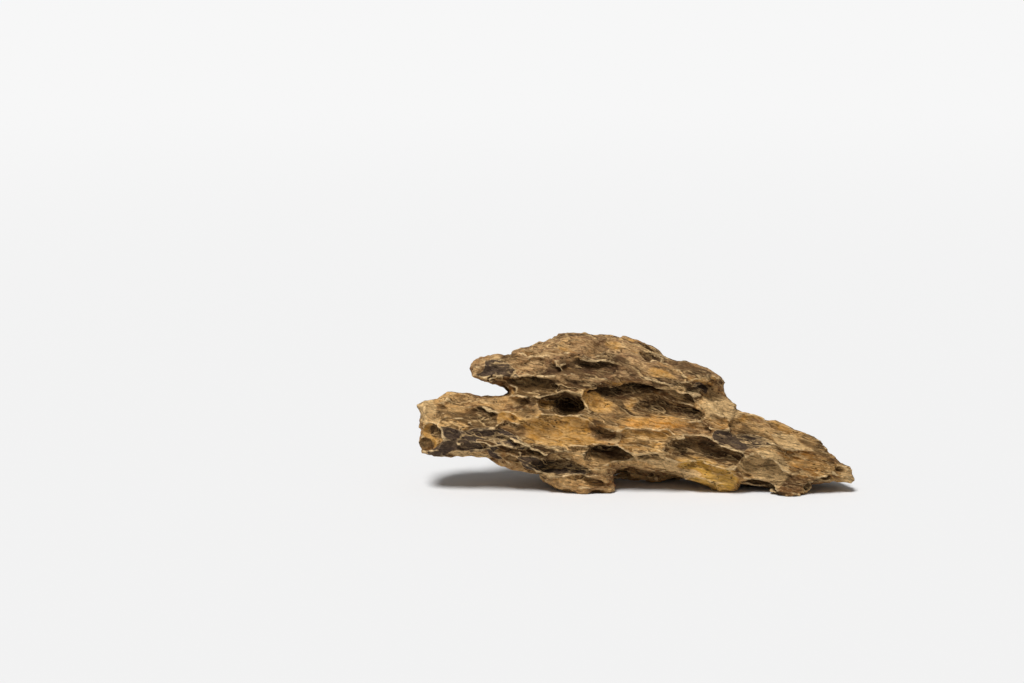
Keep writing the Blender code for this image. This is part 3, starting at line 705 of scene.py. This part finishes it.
def skin_mesh(field):
    """Points, in grid steps, and quads of the surface where the field is zero."""
    solid = settle_corners(field < 0)
    field = np.where(solid, np.minimum(field, -LEAST_FIELD), np.maximum(field, LEAST_FIELD))
    count = sum(corner.astype(np.int8) for corner in corner_views(solid))
    cells = np.nonzero((count > 0) & (count < 8))
    number = np.full(count.shape, -1)
    number[cells] = np.arange(len(cells[0]))
    values = [corner[cells] for corner in corner_views(field)]
    total = np.zeros((len(cells[0]), 3))
    crossings = np.zeros(len(cells[0]))
    for a in range(8):
        for b in range(a + 1, 8):
            start, end = np.array(CORNERS[a]), np.array(CORNERS[b])
            if np.sum(start != end) != 1:
                continue
            crossed = (values[a] < 0) != (values[b] < 0)
            part = values[a] / np.where(crossed, values[a] - values[b], 1)
            place = start + part[:, None] * (end - start)
            total += place * crossed[:, None]
            crossings += crossed
    points = np.stack(cells, -1) + total / crossings[:, None]
    quads = []
    for axis in range(3):
        j, k = (axis + 1) % 3, (axis + 2) % 3
        view = np.moveaxis(solid, (axis, j, k), (0, 1, 2))
        owner = np.moveaxis(number, (axis, j, k), (0, 1, 2))
        for leaving in (True, False):
            edge = view[:-1, 1:-1, 1:-1] if leaving else view[1:, 1:-1, 1:-1]
            other = view[1:, 1:-1, 1:-1] if leaving else view[:-1, 1:-1, 1:-1]
            x, y, z = np.nonzero(edge & ~other)
            ring = [owner[x, y, z], owner[x, y + 1, z], owner[x, y + 1, z + 1], owner[x, y, z + 1]]
            quads.append(np.stack(ring if leaving else ring[::-1], -1))
    return points, np.concatenate(quads)


def upright(block, points):
    """Points of the grid as metres in the world, with the face leaning back."""
    low = np.array([axis[0] for axis in block.axes])
    u, v, w = (low + points * block.voxel).T
    y = v * math.sin(LEAN) + w * math.cos(LEAN)
    z = v * math.cos(LEAN) - w * math.sin(LEAN)
    return np.stack([u, y, z], -1) * LENGTH / DRAWN_LENGTH


def smooth_steps(mesh):
    """Ease out the steps of the grid."""
    every_axis = {"use_axis_x": True, "use_axis_y": True, "use_axis_z": True}
    bmesh.ops.smooth_vert(mesh, verts=mesh.verts[:], factor=SMOOTHING, **every_axis)


def keep_largest(mesh):
    """Leave only the largest connected shell."""
    unseen = set(mesh.verts)
    shells = []
    while unseen:
        shell, front = [], [unseen.pop()]
        while front:
            vert = front.pop()
            shell.append(vert)
            for edge in vert.link_edges:
                other = edge.other_vert(vert)
                if other in unseen:
                    unseen.remove(other)
                    front.append(other)
        shells.append(shell)
    shells.sort(key=len)
    bmesh.ops.delete(mesh, geom=[v for shell in shells[:-1] for v in shell], context="VERTS")


def cut_feet(mesh):
    """Cut the stone flat on the ground plane and close each foot."""
    everything = mesh.verts[:] + mesh.edges[:] + mesh.faces[:]
    cut = bmesh.ops.bisect_plane(
        mesh, geom=everything, dist=TINY, plane_co=(0, 0, 0), plane_no=(0, 0, 1), clear_inner=True
    )
    rims = [item for item in cut["geom_cut"] if isinstance(item, bmesh.types.BMEdge)]
    bmesh.ops.holes_fill(mesh, edges=rims, sides=0)
    bmesh.ops.triangulate(mesh, faces=mesh.faces[:])
    bmesh.ops.recalc_face_normals(mesh, faces=mesh.faces[:])


def sample(volume, steps):
    """Values of a volume between its grid points."""
    low = np.clip(np.floor(steps).astype(int), 0, np.array(volume.shape[:3]) - 2)
    total = 0
    for bits, weight in corner_weights((steps - low).T):
        values = volume[tuple((low + bits).T)]
        total = total + (weight[:, None] if values.ndim == 2 else weight) * values
    return total


def blurred(volume, reach):
    """The volume averaged over reach grid steps each way, twice."""
    for axis in (0, 1, 2, 0, 1, 2):
        ends = [(0, 0)] * 3
        ends[axis] = (reach + 1, reach)
        sums = np.cumsum(np.pad(volume, ends, mode="edge"), axis=axis, dtype=np.float64)
        view = np.moveaxis(sums, axis, 0)
        view = (view[2 * reach + 1 :] - view[: -2 * reach - 1]) / (2 * reach + 1)
        volume = np.moveaxis(view, 0, axis).astype(np.float32)
    return volume


def grid_steps(block, places):
    """World places, in metres, as steps of the grid and as u, v and w."""
    u, y, z = places.T * DRAWN_LENGTH / LENGTH
    v = y * math.sin(LEAN) + z * math.cos(LEAN)
    w = y * math.cos(LEAN) - z * math.sin(LEAN)
    low = [axis[0] for axis in block.axes]
    return (np.stack([u, v, w], -1) - low) / block.voxel, u, v, w


def set_values(data, name, values):
    kind = "FLOAT" if values.ndim == 1 else "FLOAT_VECTOR"
    layer = data.attributes.new(name, kind, "POINT")
    layer.data.foreach_set("value" if values.ndim == 1 else "vector", values.ravel().astype("f"))


def note_places(data, block):
    """Write on each vertex what the skin shows there."""
    places = np.empty(len(data.vertices) * 3)
    data.vertices.foreach_get("co", places)
    steps, u, v, w = grid_steps(block, places.reshape(-1, 3))
    s, t = block.layer_places(u, v, w)
    set_values(data, "layers", np.stack([s, t, w], -1))
    rock = np.clip(0.5 - block.field / (ROCK_EDGE * block.voxel), 0, 1).astype(np.float32)
    for name, reach in (("ridge", RIDGE_REACH), ("hollow", HOLLOW_REACH)):
        around = sample(blurred(rock, max(1, round(reach / block.voxel))), steps)
        set_values(data, name, np.clip(1 - around if name == "ridge" else around, 0, 1))
    stains_and_shade = sample(block.stain_and_shade, steps)
    for i, name in enumerate(STAINS_AND_SHADE):
        set_values(data, name, stains_and_shade[:, i])
    set_values(data, "lobe", sample(block.lobe, steps))


# ---------------------------------------------------------------- node trees


def socket(tree, name, kind, way, value=None):
    item = tree.interface.new_socket(name=name, in_out=way, socket_type="NodeSocket" + kind)
    if value is not None:
        item.default_value = value


def add(tree, kind, inputs=None, **settings):
    """A new node, with its settings and its inputs set or linked."""
    node = tree.nodes.new(kind)
    for name, value in settings.items():
        setattr(node, name, value)
    for key, value in (inputs or {}).items():
        if isinstance(value, bpy.types.NodeSocket):
            tree.links.new(value, node.inputs[key])
        else:
            node.inputs[key].default_value = value
    return node


def maths(tree, operation, a, b=0.0, clamp=False):
    return add(tree, "ShaderNodeMath", {0: a, 1: b}, operation=operation, use_clamp=clamp).outputs[0]


def times(tree, a, b):
    return maths(tree, "MULTIPLY", a, b)


def plus(tree, a, b):
    return maths(tree, "ADD", a, b)


def minus(tree, a, b):
    return maths(tree, "SUBTRACT", a, b)


def over(tree, a, b):
    return maths(tree, "DIVIDE", a, b)


def between(tree, value, low, high, start=0.0, end=1.0):
    """value taken from low..high to start..end, easing at both ends."""
    inputs = {"Value": value, "From Min": low, "From Max": high, "To Min": start, "To Max": end}
    return add(tree, "ShaderNodeMapRange", inputs, interpolation_type="SMOOTHSTEP").outputs[0]


def mixed(tree, share, a, b, blend="MIX"):
    inputs = {0: share, 6: a, 7: b}
    return add(tree, "ShaderNodeMix", inputs, data_type="RGBA", blend_type=blend).outputs[2]


def group(name, inputs, outputs):
    """A shader group with named inputs (kind, value) and outputs."""
    tree = bpy.data.node_groups.new(name, "ShaderNodeTree")
    for title, (kind, value) in inputs.items():
        socket(tree, title, kind, "INPUT", value)
    for title, kind in outputs.items():
        socket(tree, title, kind, "OUTPUT")
    return tree, tree.nodes.new("NodeGroupInput").outputs, tree.nodes.new("NodeGroupOutput").inputs


def use(tree, grouping, inputs):
    return add(tree, "ShaderNodeGroup", inputs, node_tree=grouping).outputs


def streaks_group():
    """Noise drawn out along the layers. Layers is in millimetres along, across and into them."""
    tree, given, out = group(
        "Streaks along layers",
        {
            "Layers": ("Vector", None),
            "Along": ("Float", 20.0),
            "Across": ("Float", 4.0),
            "Roughness": ("Float", 0.6),
            "Twist": ("Float", 0.6),
            "Low": ("Float", 0.4),
            "High": ("Float", 0.6),
        },
        {"Streaks": "Float"},
    )
    parts = add(tree, "ShaderNodeSeparateXYZ", {0: given["Layers"]}).outputs
    along = over(tree, parts[0], given["Along"])
    across = over(tree, parts[1], given["Across"])
    into = over(tree, parts[2], times(tree, given["Across"], 1.7))
    place = add(tree, "ShaderNodeCombineXYZ", {0: along, 1: across, 2: into}).outputs[0]
    noise = add(
        tree,
        "ShaderNodeTexNoise",
        {
            "Vector": place, "Scale": 1.0, "Detail": 4.0, "Roughness": given["Roughness"],
            "Distortion": given["Twist"],
        },
    )
    tree.links.new(between(tree, noise.outputs["Fac"], given["Low"], given["High"]), out["Streaks"])
    return tree


def patches_group():
    """A soft mask given a ragged edge, and a narrow band along the outside of that edge."""
    tree, given, out = group(
        "Ragged patches",
        {
            "Mask": ("Float", 0.0),
            "Layers": ("Vector", None),
            "Size": ("Float", 5.0),
            "Raggedness": ("Float", 0.6),
            "Sharpness": ("Float", 0.1),
            "Level": ("Float", 0.5),
        },
        {"Patches": "Float", "Edges": "Float"},
    )
    scale = over(tree, 1.0, given["Size"])
    stretch = add(tree, "ShaderNodeCombineXYZ", {0: 0.5, 1: 1.0, 2: 0.8}).outputs[0]
    place = add(tree, "ShaderNodeVectorMath", {0: given["Layers"], 1: stretch}, operation="MULTIPLY")
    noise = add(
        tree,
        "ShaderNodeTexNoise",
        {"Vector": place.outputs[0], "Scale": scale, "Detail": 5.0, "Roughness": 0.62},
    )
    shift = times(tree, minus(tree, noise.outputs["Fac"], 0.5), given["Raggedness"])
    value = plus(tree, given["Mask"], shift)
    low = minus(tree, given["Level"], given["Sharpness"])
    high = plus(tree, given["Level"], given["Sharpness"])
    band_width = 0.09
    patches = between(tree, value, low, high)
    tree.links.new(patches, out["Patches"])
    outer = minus(tree, low, band_width)
    band = maths(tree, "SUBTRACT", between(tree, value, outer, low), patches, True)
    tree.links.new(band, out["Edges"])
    return tree


def flakes_group():
    """Thin overlapping flakes that follow the layers: how high each place stands on its flake, the
    lit lip where a flake ends, for a painted highlight, and the line under that lip, for a painted
    shadow."""
    tree, given, out = group(
        "Flakes along layers",
        {
            "Layers": ("Vector", None),
            "Spacing": ("Float", 6.0),
            "Wander": ("Float", 5.0),
            "Shift": ("Float", 0.0),
        },
        {"Height": "Float", "Lip": "Float", "Under": "Float"},
    )
    parts = add(tree, "ShaderNodeSeparateXYZ", {0: given["Layers"]}).outputs
    across = over(tree, parts[1], given["Spacing"])
    place = add(tree, "ShaderNodeCombineXYZ", {
        0: over(tree, parts[0], times(tree, given["Spacing"], 3.0)),
        1: plus(tree, across, given["Shift"]),
        2: over(tree, parts[2], times(tree, given["Spacing"], 1.8)),
    }).outputs[0]
    noise = add(tree, "ShaderNodeTexNoise",
                {"Vector": place, "Scale": 0.55, "Detail": 3.0, "Roughness": 0.55}).outputs["Fac"]
    level = plus(tree, across, times(tree, noise, given["Wander"]))
    # Each place on a flake is a share of the way across it, from under the last lip to its own.
    step = maths(tree, "FRACT", level)
    rise = minus(tree, between(tree, step, 0.0, 0.86), between(tree, step, 0.92, 1.0))
    lit_lip = minus(tree, between(tree, step, 0.74, 0.86), between(tree, step, 0.90, 0.96))
    under = plus(tree, between(tree, step, 0.93, 1.0), between(tree, step, 0.16, 0.0))
    tree.links.new(rise, out["Height"])
    tree.links.new(lit_lip, out["Lip"])
    tree.links.new(under, out["Under"])
    return tree


def pores_group():
    """Small round holes, in clusters."""
    tree, given, out = group(
        "Pores",
        {"Layers": ("Vector", None), "Spacing": ("Float", 3.0), "Size": ("Float", 0.2)},
        {"Pores": "Float"},
    )
    scale = over(tree, 1.0, given["Spacing"])
    stretch = add(tree, "ShaderNodeCombineXYZ", {0: 0.6, 1: 1.0, 2: 1.0}).outputs[0]
    place = add(tree, "ShaderNodeVectorMath", {0: given["Layers"], 1: stretch}, operation="MULTIPLY")
    cells = add(tree, "ShaderNodeTexVoronoi", {"Vector": place.outputs[0], "Scale": scale})
    cluster = add(tree, "ShaderNodeTexNoise", {"Vector": place.outputs[0], "Scale": 0.09})
    size = times(tree, given["Size"], between(tree, cluster.outputs["Fac"], 0.5, 0.65))
    inside = minus(tree, size, cells.outputs["Distance"])
    tree.links.new(between(tree, inside, 0.0, 0.06), out["Pores"])
    return tree


# ---------------------------------------------------------------- the rock's material


def srgb(red, green, blue):
    """A colour given as it shows on a screen, 0 to 255."""
    shares = [c / 255 for c in (red, green, blue)]
    linear = [((c + 0.055) / 1.055) ** 2.4 if c > 0.04045 else c / 12.92 for c in shares]
    return (*linear, 1.0)


TAN = srgb(192, 148, 92)
BROWN = srgb(112, 75, 42)
PALE = srgb(220, 183, 128)
CREAM = srgb(228, 195, 144)
OCHRE = srgb(188, 136, 58)
YELLOW = srgb(198, 152, 64)
ORANGE = srgb(210, 140, 50)
SLATE = srgb(68, 57, 50)
# Dark brown of varnish and dark rock, and the colour of shade painted into creases, pits and under
# flake lips.
UMBER_AND_SHADE = srgb(46, 27, 11)
LOBE = srgb(136, 103, 74)
SHADE = srgb(20, 10, 3)


def attribute(tree, name):
    node = add(tree, "ShaderNodeAttribute", attribute_name=name)
    return node.outputs["Vector" if name == "layers" else "Fac"]


def grey(tree, level):
    return add(tree, "ShaderNodeCombineColor", {0: level, 1: level, 2: level}).outputs[0]


def new_material(name):
    """A material, with its node tree and its shader."""
    material = bpy.data.materials.new(name)
    material.use_nodes = True
    return material, material.node_tree, material.node_tree.nodes["Principled BSDF"]


def rock_material():
    """Tan and brown layers under stains, with pale rims, flakes and pores; shade is painted into
    creases, hollows and pits and under the flakes' lips, with a painted highlight along those lips.
    """
    material, tree, shader = new_material("weathered rock")
    streaks, patches, pores, flakes = streaks_group(), patches_group(), pores_group(), flakes_group()
    shown = {name: attribute(tree, name) for name in ("layers", "ridge", "hollow", *STAINS_AND_SHADE, "lobe")}
    layers = {"Layers": shown["layers"]}

    def streak(along, across, low, high, **more):
        given = {**layers, "Along": along, "Across": across, "Low": low, "High": high, **more}
        return use(tree, streaks, given)[0]

    def patch(mask, size, raggedness, sharpness, level=0.5):
        given = {**layers, "Mask": mask, "Size": size, "Raggedness": raggedness}
        return use(tree, patches, {**given, "Sharpness": sharpness, "Level": level})

    broad = streak(30.0, 9.0, 0.40, 0.60)
    medium = streak(9.0, 3.6, 0.36, 0.64, Twist=1.2)
    fine = streak(2.4, 1.5, 0.38, 0.62, Twist=1.0)
    lines = streak(14.0, 1.7, 0.57, 0.64, Twist=2.0)
    varnish = patch(streak(26.0, 9.0, 0.30, 0.80, Twist=0.3), 6, 0.6, 0.05, 0.68)
    slate = patch(shown["slate"], 5, 0.6, 0.03)
    wide = use(tree, flakes, {**layers, "Spacing": 8.0, "Wander": 5.0})
    narrow = use(tree, flakes, {**layers, "Spacing": 3.4, "Wander": 4.0, "Shift": 7.0})
    flaking = streak(34.0, 12.0, 0.42, 0.58)
    holes = use(tree, pores, {**layers, "Spacing": 2.2, "Size": 0.26})[0]

    # What colours the rock, from the lowest coat to the topmost: mask, strength and colour.
    coats = [
        (shown["lobe"], 0.6, LOBE),
        (patch(shown["ochre"], 8, 1.0, 0.4)["Patches"], 0.75, OCHRE),
        (between(tree, shown["ochre"], 1.0, 1.4), 0.8, YELLOW),
        (patch(shown["pale"], 5, 1.0, 0.15)["Patches"], 0.7, PALE),
        (patch(shown["orange"], 6, 1.8, 0.35, 0.62)["Patches"], 0.7, ORANGE),
        (streak(30.0, 5.0, 0.56, 0.70, Twist=1.4), 0.3, ORANGE),
        (minus(tree, 1.0, medium), 0.32, PALE),
        # painted shade: creases, where the skin is least sharp, are darkened
        (between(tree, shown["ridge"], 0.465, 0.37), 0.75, UMBER_AND_SHADE),
        # dark rock, and shade painted into pits and under rims, from the dark channel
        (patch(shown["dark"], 7, 1.1, 0.22)["Patches"], 0.72, UMBER_AND_SHADE),
        (varnish["Edges"], 0.3, PALE),
        (varnish["Patches"], 0.6, UMBER_AND_SHADE),
        (slate["Edges"], 0.5, CREAM),
        (slate["Patches"], 0.85, SLATE),
        # painted shade, deepening into sheltered hollows
        (between(tree, shown["hollow"], 0.56, 0.86), 0.7, SHADE),
    ]
    # painted shadow under each flake's lip and painted highlight along the lip
    for flake, strength in ((wide, 0.6), (narrow, 0.3)):
        for part, tone in (("Under", UMBER_AND_SHADE), ("Lip", PALE)):
            coats.append((times(tree, flake[part], flaking), strength, tone))
    coats.append((lines, 0.5, SHADE))
    coats.append((patch(shown["ridge"], 2.6, 0.30, 0.04, 0.605)["Patches"], 0.75, CREAM))

    def coated(colour, mask, strength, coat):
        return mixed(tree, times(tree, mask, strength), colour, coat)

    colour = mixed(tree, broad, TAN, BROWN)
    for coat in coats:
        colour = coated(colour, *coat)
    calm = between(tree, shown["ochre"], 0.2, 0.9, 1.0, 0.5)
    grain = grey(tree, between(tree, fine, 0.0, 1.0, 0.82, 1.15))
    colour = mixed(tree, calm, colour, grain, "MULTIPLY")
    colour = coated(colour, holes, 0.75, SHADE)
    tree.links.new(colour, shader.inputs["Base Color"])
    shader.inputs["Roughness"].default_value = 0.8
    shader.inputs["Specular IOR Level"].default_value = 0.12

    height = 0.0
    for part, share in (
        (medium, 0.3),
        (times(tree, fine, calm), 0.3),
        (wide["Height"], 0.7),
        (narrow["Height"], 0.4),
        (lines, -0.4),
        (holes, -0.7),
    ):
        height = plus(tree, times(tree, part, share), height)
    bump = add(tree, "ShaderNodeBump", {"Height": height, "Strength": 1.0, "Distance": BUMP_HEIGHT})
    tree.links.new(bump.outputs[0], shader.inputs["Normal"])
    return material


# ---------------------------------------------------------------- fine relief


def relief_tree():
    """Moves the skin along its normals, in ledges and grain that follow the layers."""
    tree = bpy.data.node_groups.new("Fine relief", "GeometryNodeTree")
    socket(tree, "Stone", "Geometry", "INPUT")
    for name, value in RELIEF.items():
        socket(tree, name, "Float", "INPUT", value)
    socket(tree, "Material", "Material", "INPUT")
    socket(tree, "Stone", "Geometry", "OUTPUT")
    given = tree.nodes.new("NodeGroupInput").outputs
    layers = add(tree, "GeometryNodeInputNamedAttribute", {"Name": "layers"}, data_type="FLOAT_VECTOR")
    parts = add(tree, "ShaderNodeSeparateXYZ", {0: layers.outputs[0]}).outputs

    def noise(along, across, detail):
        place = add(tree, "ShaderNodeCombineXYZ", {
            0: over(tree, parts[0], along),
            1: over(tree, parts[1], across),
            2: over(tree, parts[2], across * 1.6),
        }).outputs[0]
        inputs = {"Vector": place, "W": given["Seed"], "Scale": 1.0, "Detail": detail}
        return add(tree, "ShaderNodeTexNoise", inputs, noise_dimensions="4D").outputs["Fac"]

    wander = times(tree, noise(18.0, 7.0, 2.0), 2.6)
    level = plus(tree, over(tree, parts[1], given["Ledge spacing"]), wander)
    # Each place on a ledge is a share of the way across it.
    step = maths(tree, "FRACT", level)
    ledge = minus(tree, between(tree, step, 0.0, 0.8), between(tree, step, 0.84, 1.0))
    ledge = times(tree, minus(tree, ledge, 0.5), given["Ledge height"])
    # The noise is mostly within this of its middle, and the stretch takes that to the full height.
    usual, stretch = 0.12, 8.0
    grain = maths(tree, "ABSOLUTE", minus(tree, noise(7.0, 2.6, 2.0), 0.5))
    grain = times(tree, minus(tree, usual, grain), given["Grain height"])
    grain = times(tree, grain, stretch)
    rise = plus(tree, ledge, grain)
    normal = tree.nodes.new("GeometryNodeInputNormal").outputs[0]
    offset = add(tree, "ShaderNodeVectorMath", {0: normal, "Scale": rise}, operation="SCALE")
    moved = add(tree, "GeometryNodeSetPosition",
                {"Geometry": given["Stone"], "Offset": offset.outputs[0]}).outputs[0]
    whole = add(tree, "GeometryNodeRealizeInstances", {0: moved}).outputs[0]
    painted = add(tree, "GeometryNodeSetMaterial", {"Geometry": whole, "Material": given["Material"]})
    output = tree.nodes.new("NodeGroupOutput")
    tree.links.new(painted.outputs[0], output.inputs[0])
    return tree


def add_relief(modifier, material):
    """Set a Geometry Nodes modifier up for the fine relief."""
    modifier.node_group = relief_tree()
    sockets = {item.name: item.identifier for item in modifier.node_group.interface.items_tree
               if item.item_type == "SOCKET" and item.in_out == "INPUT"}
    for name, value in {**RELIEF, "Material": material}.items():
        modifier[sockets[name]] = value


# ---------------------------------------------------------------- the stone


def new_object(name, data):
    """An object of the scene that holds the data."""
    thing = bpy.data.objects.new(name, data)
    bpy.context.scene.collection.objects.link(thing)
    return thing


def after_modifier(data, kind, set_up):
    """The mesh as one modifier, once set up, leaves it."""
    carrier = new_object("carrier", data)
    set_up(carrier.modifiers.new("change", kind))
    graph = bpy.context.evaluated_depsgraph_get()
    done = bpy.data.meshes.new_from_object(carrier.evaluated_get(graph))
    carrier.modifiers.clear()
    bpy.data.objects.remove(carrier)
    return done


def edit(data, *steps):
    """Take a mesh through steps that each change its points and faces."""
    mesh = bmesh.new()
    mesh.from_mesh(data)
    for step in steps:
        step(mesh)
    mesh.to_mesh(data)
    mesh.free()


def thin(modifier):
    """Set a Decimate modifier up to leave about TRIANGLES of a mesh of quads."""
    quads = len(modifier.id_data.data.polygons)
    modifier.ratio = min(1.0, TRIANGLES / (2 * quads))


def settle_in_place(mesh):
    """Bring the middle of the stone over the middle of its CAD node."""
    low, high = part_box(NODE)
    for axis in (0, 1):
        places = [vert.co[axis] for vert in mesh.verts]
        shift = (low[axis] + high[axis]) / 2 - (min(places) + max(places)) / 2
        for vert in mesh.verts:
            vert.co[axis] += shift


def make_stone():
    block = stone_block(VOXEL)
    points, quads = skin_mesh(block.field)
    full = bpy.data.meshes.new("full")
    full.from_pydata(upright(block, points).tolist(), [], quads.tolist())
    edit(full, keep_largest, smooth_steps)
    data = after_modifier(full, "DECIMATE", thin)
    note_places(data, block)
    material = rock_material()
    data = after_modifier(data, "NODES", lambda modifier: add_relief(modifier, material))
    data.name = "stone"
    edit(data, cut_feet, keep_largest, settle_in_place)
    data.shade_smooth()
    stone = new_object("stone", data)
    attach(stone, "root")
    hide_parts(NODE)


# ---------------------------------------------------------------- floor, light and camera


def floor_material():
    """Matt grey, a little darker near the stone."""
    material, tree, shader = new_material("pale floor")
    shader.inputs["Roughness"].default_value = 1.0
    shader.inputs["Specular IOR Level"].default_value = 0.0
    place = add(tree, "ShaderNodeTexCoord").outputs["Object"]
    distance = add(tree, "ShaderNodeVectorMath", {0: place}, operation="LENGTH").outputs["Value"]
    level = between(tree, distance, FLOOR_FROM, FLOOR_TO, FLOOR_NEAR, FLOOR_FAR)
    tree.links.new(grey(tree, level), shader.inputs["Base Color"])
    return material


def make_floor():
    """A pale floor that reaches the horizon."""
    half = FLOOR_HALF
    data = bpy.data.meshes.new("floor")
    corners = [(-half, -half, 0), (half, -half, 0), (half, half, 0), (-half, half, 0)]
    data.from_pydata(corners, [], [(0, 1, 2, 3)])
    data.materials.append(floor_material())
    floor = new_object("floor", data)
    floor.location.z = -FLOOR_GAP


def aim(obj, place, target):
    """Put an object at a place, looking at a target."""
    obj.location = place
    obj.rotation_euler = (Vector(target) - Vector(place)).to_track_quat("-Z", "Y").to_euler()


def make_lights():
    light = bpy.data.lights.new("overhead light", "SUN")
    light.energy = LIGHT_STRENGTH
    light.angle = LIGHT_SPREAD
    aim(new_object("overhead light", light), LIGHT_FROM, (0, 0, 0))
    world = bpy.data.worlds.new("studio")
    world.use_nodes = True
    back = world.node_tree.nodes["Background"]
    back.inputs["Color"].default_value = (1.0, 1.0, 1.0, 1.0)
    back.inputs["Strength"].default_value = WORLD_STRENGTH
    bpy.context.scene.world = world


def make_camera():
    """A long lens, looking down by LEAN at the broad face."""
    data = bpy.data.cameras.new("camera")
    data.sensor_width = SENSOR
    data.lens = SENSOR * CAMERA_DISTANCE / VIEW_WIDTH
    data.clip_start = 0.01
    camera = new_object("camera", data)
    u, v = VIEW_MIDDLE
    middle_u, middle_y = DRAWN_MIDDLE
    x = (u - middle_u) * LENGTH / DRAWN_LENGTH
    y = (v * math.sin(LEAN) - middle_y) * LENGTH / DRAWN_LENGTH
    z = v * math.cos(LEAN) * LENGTH / DRAWN_LENGTH
    back = CAMERA_DISTANCE
    place = (x, y - back * math.cos(LEAN), z + back * math.sin(LEAN))
    aim(camera, place, (x, y, z))
    bpy.context.scene.camera = camera


make_stone()
make_floor()
make_lights()
make_camera()
bpy.context.scene.view_settings.view_transform = "Standard"
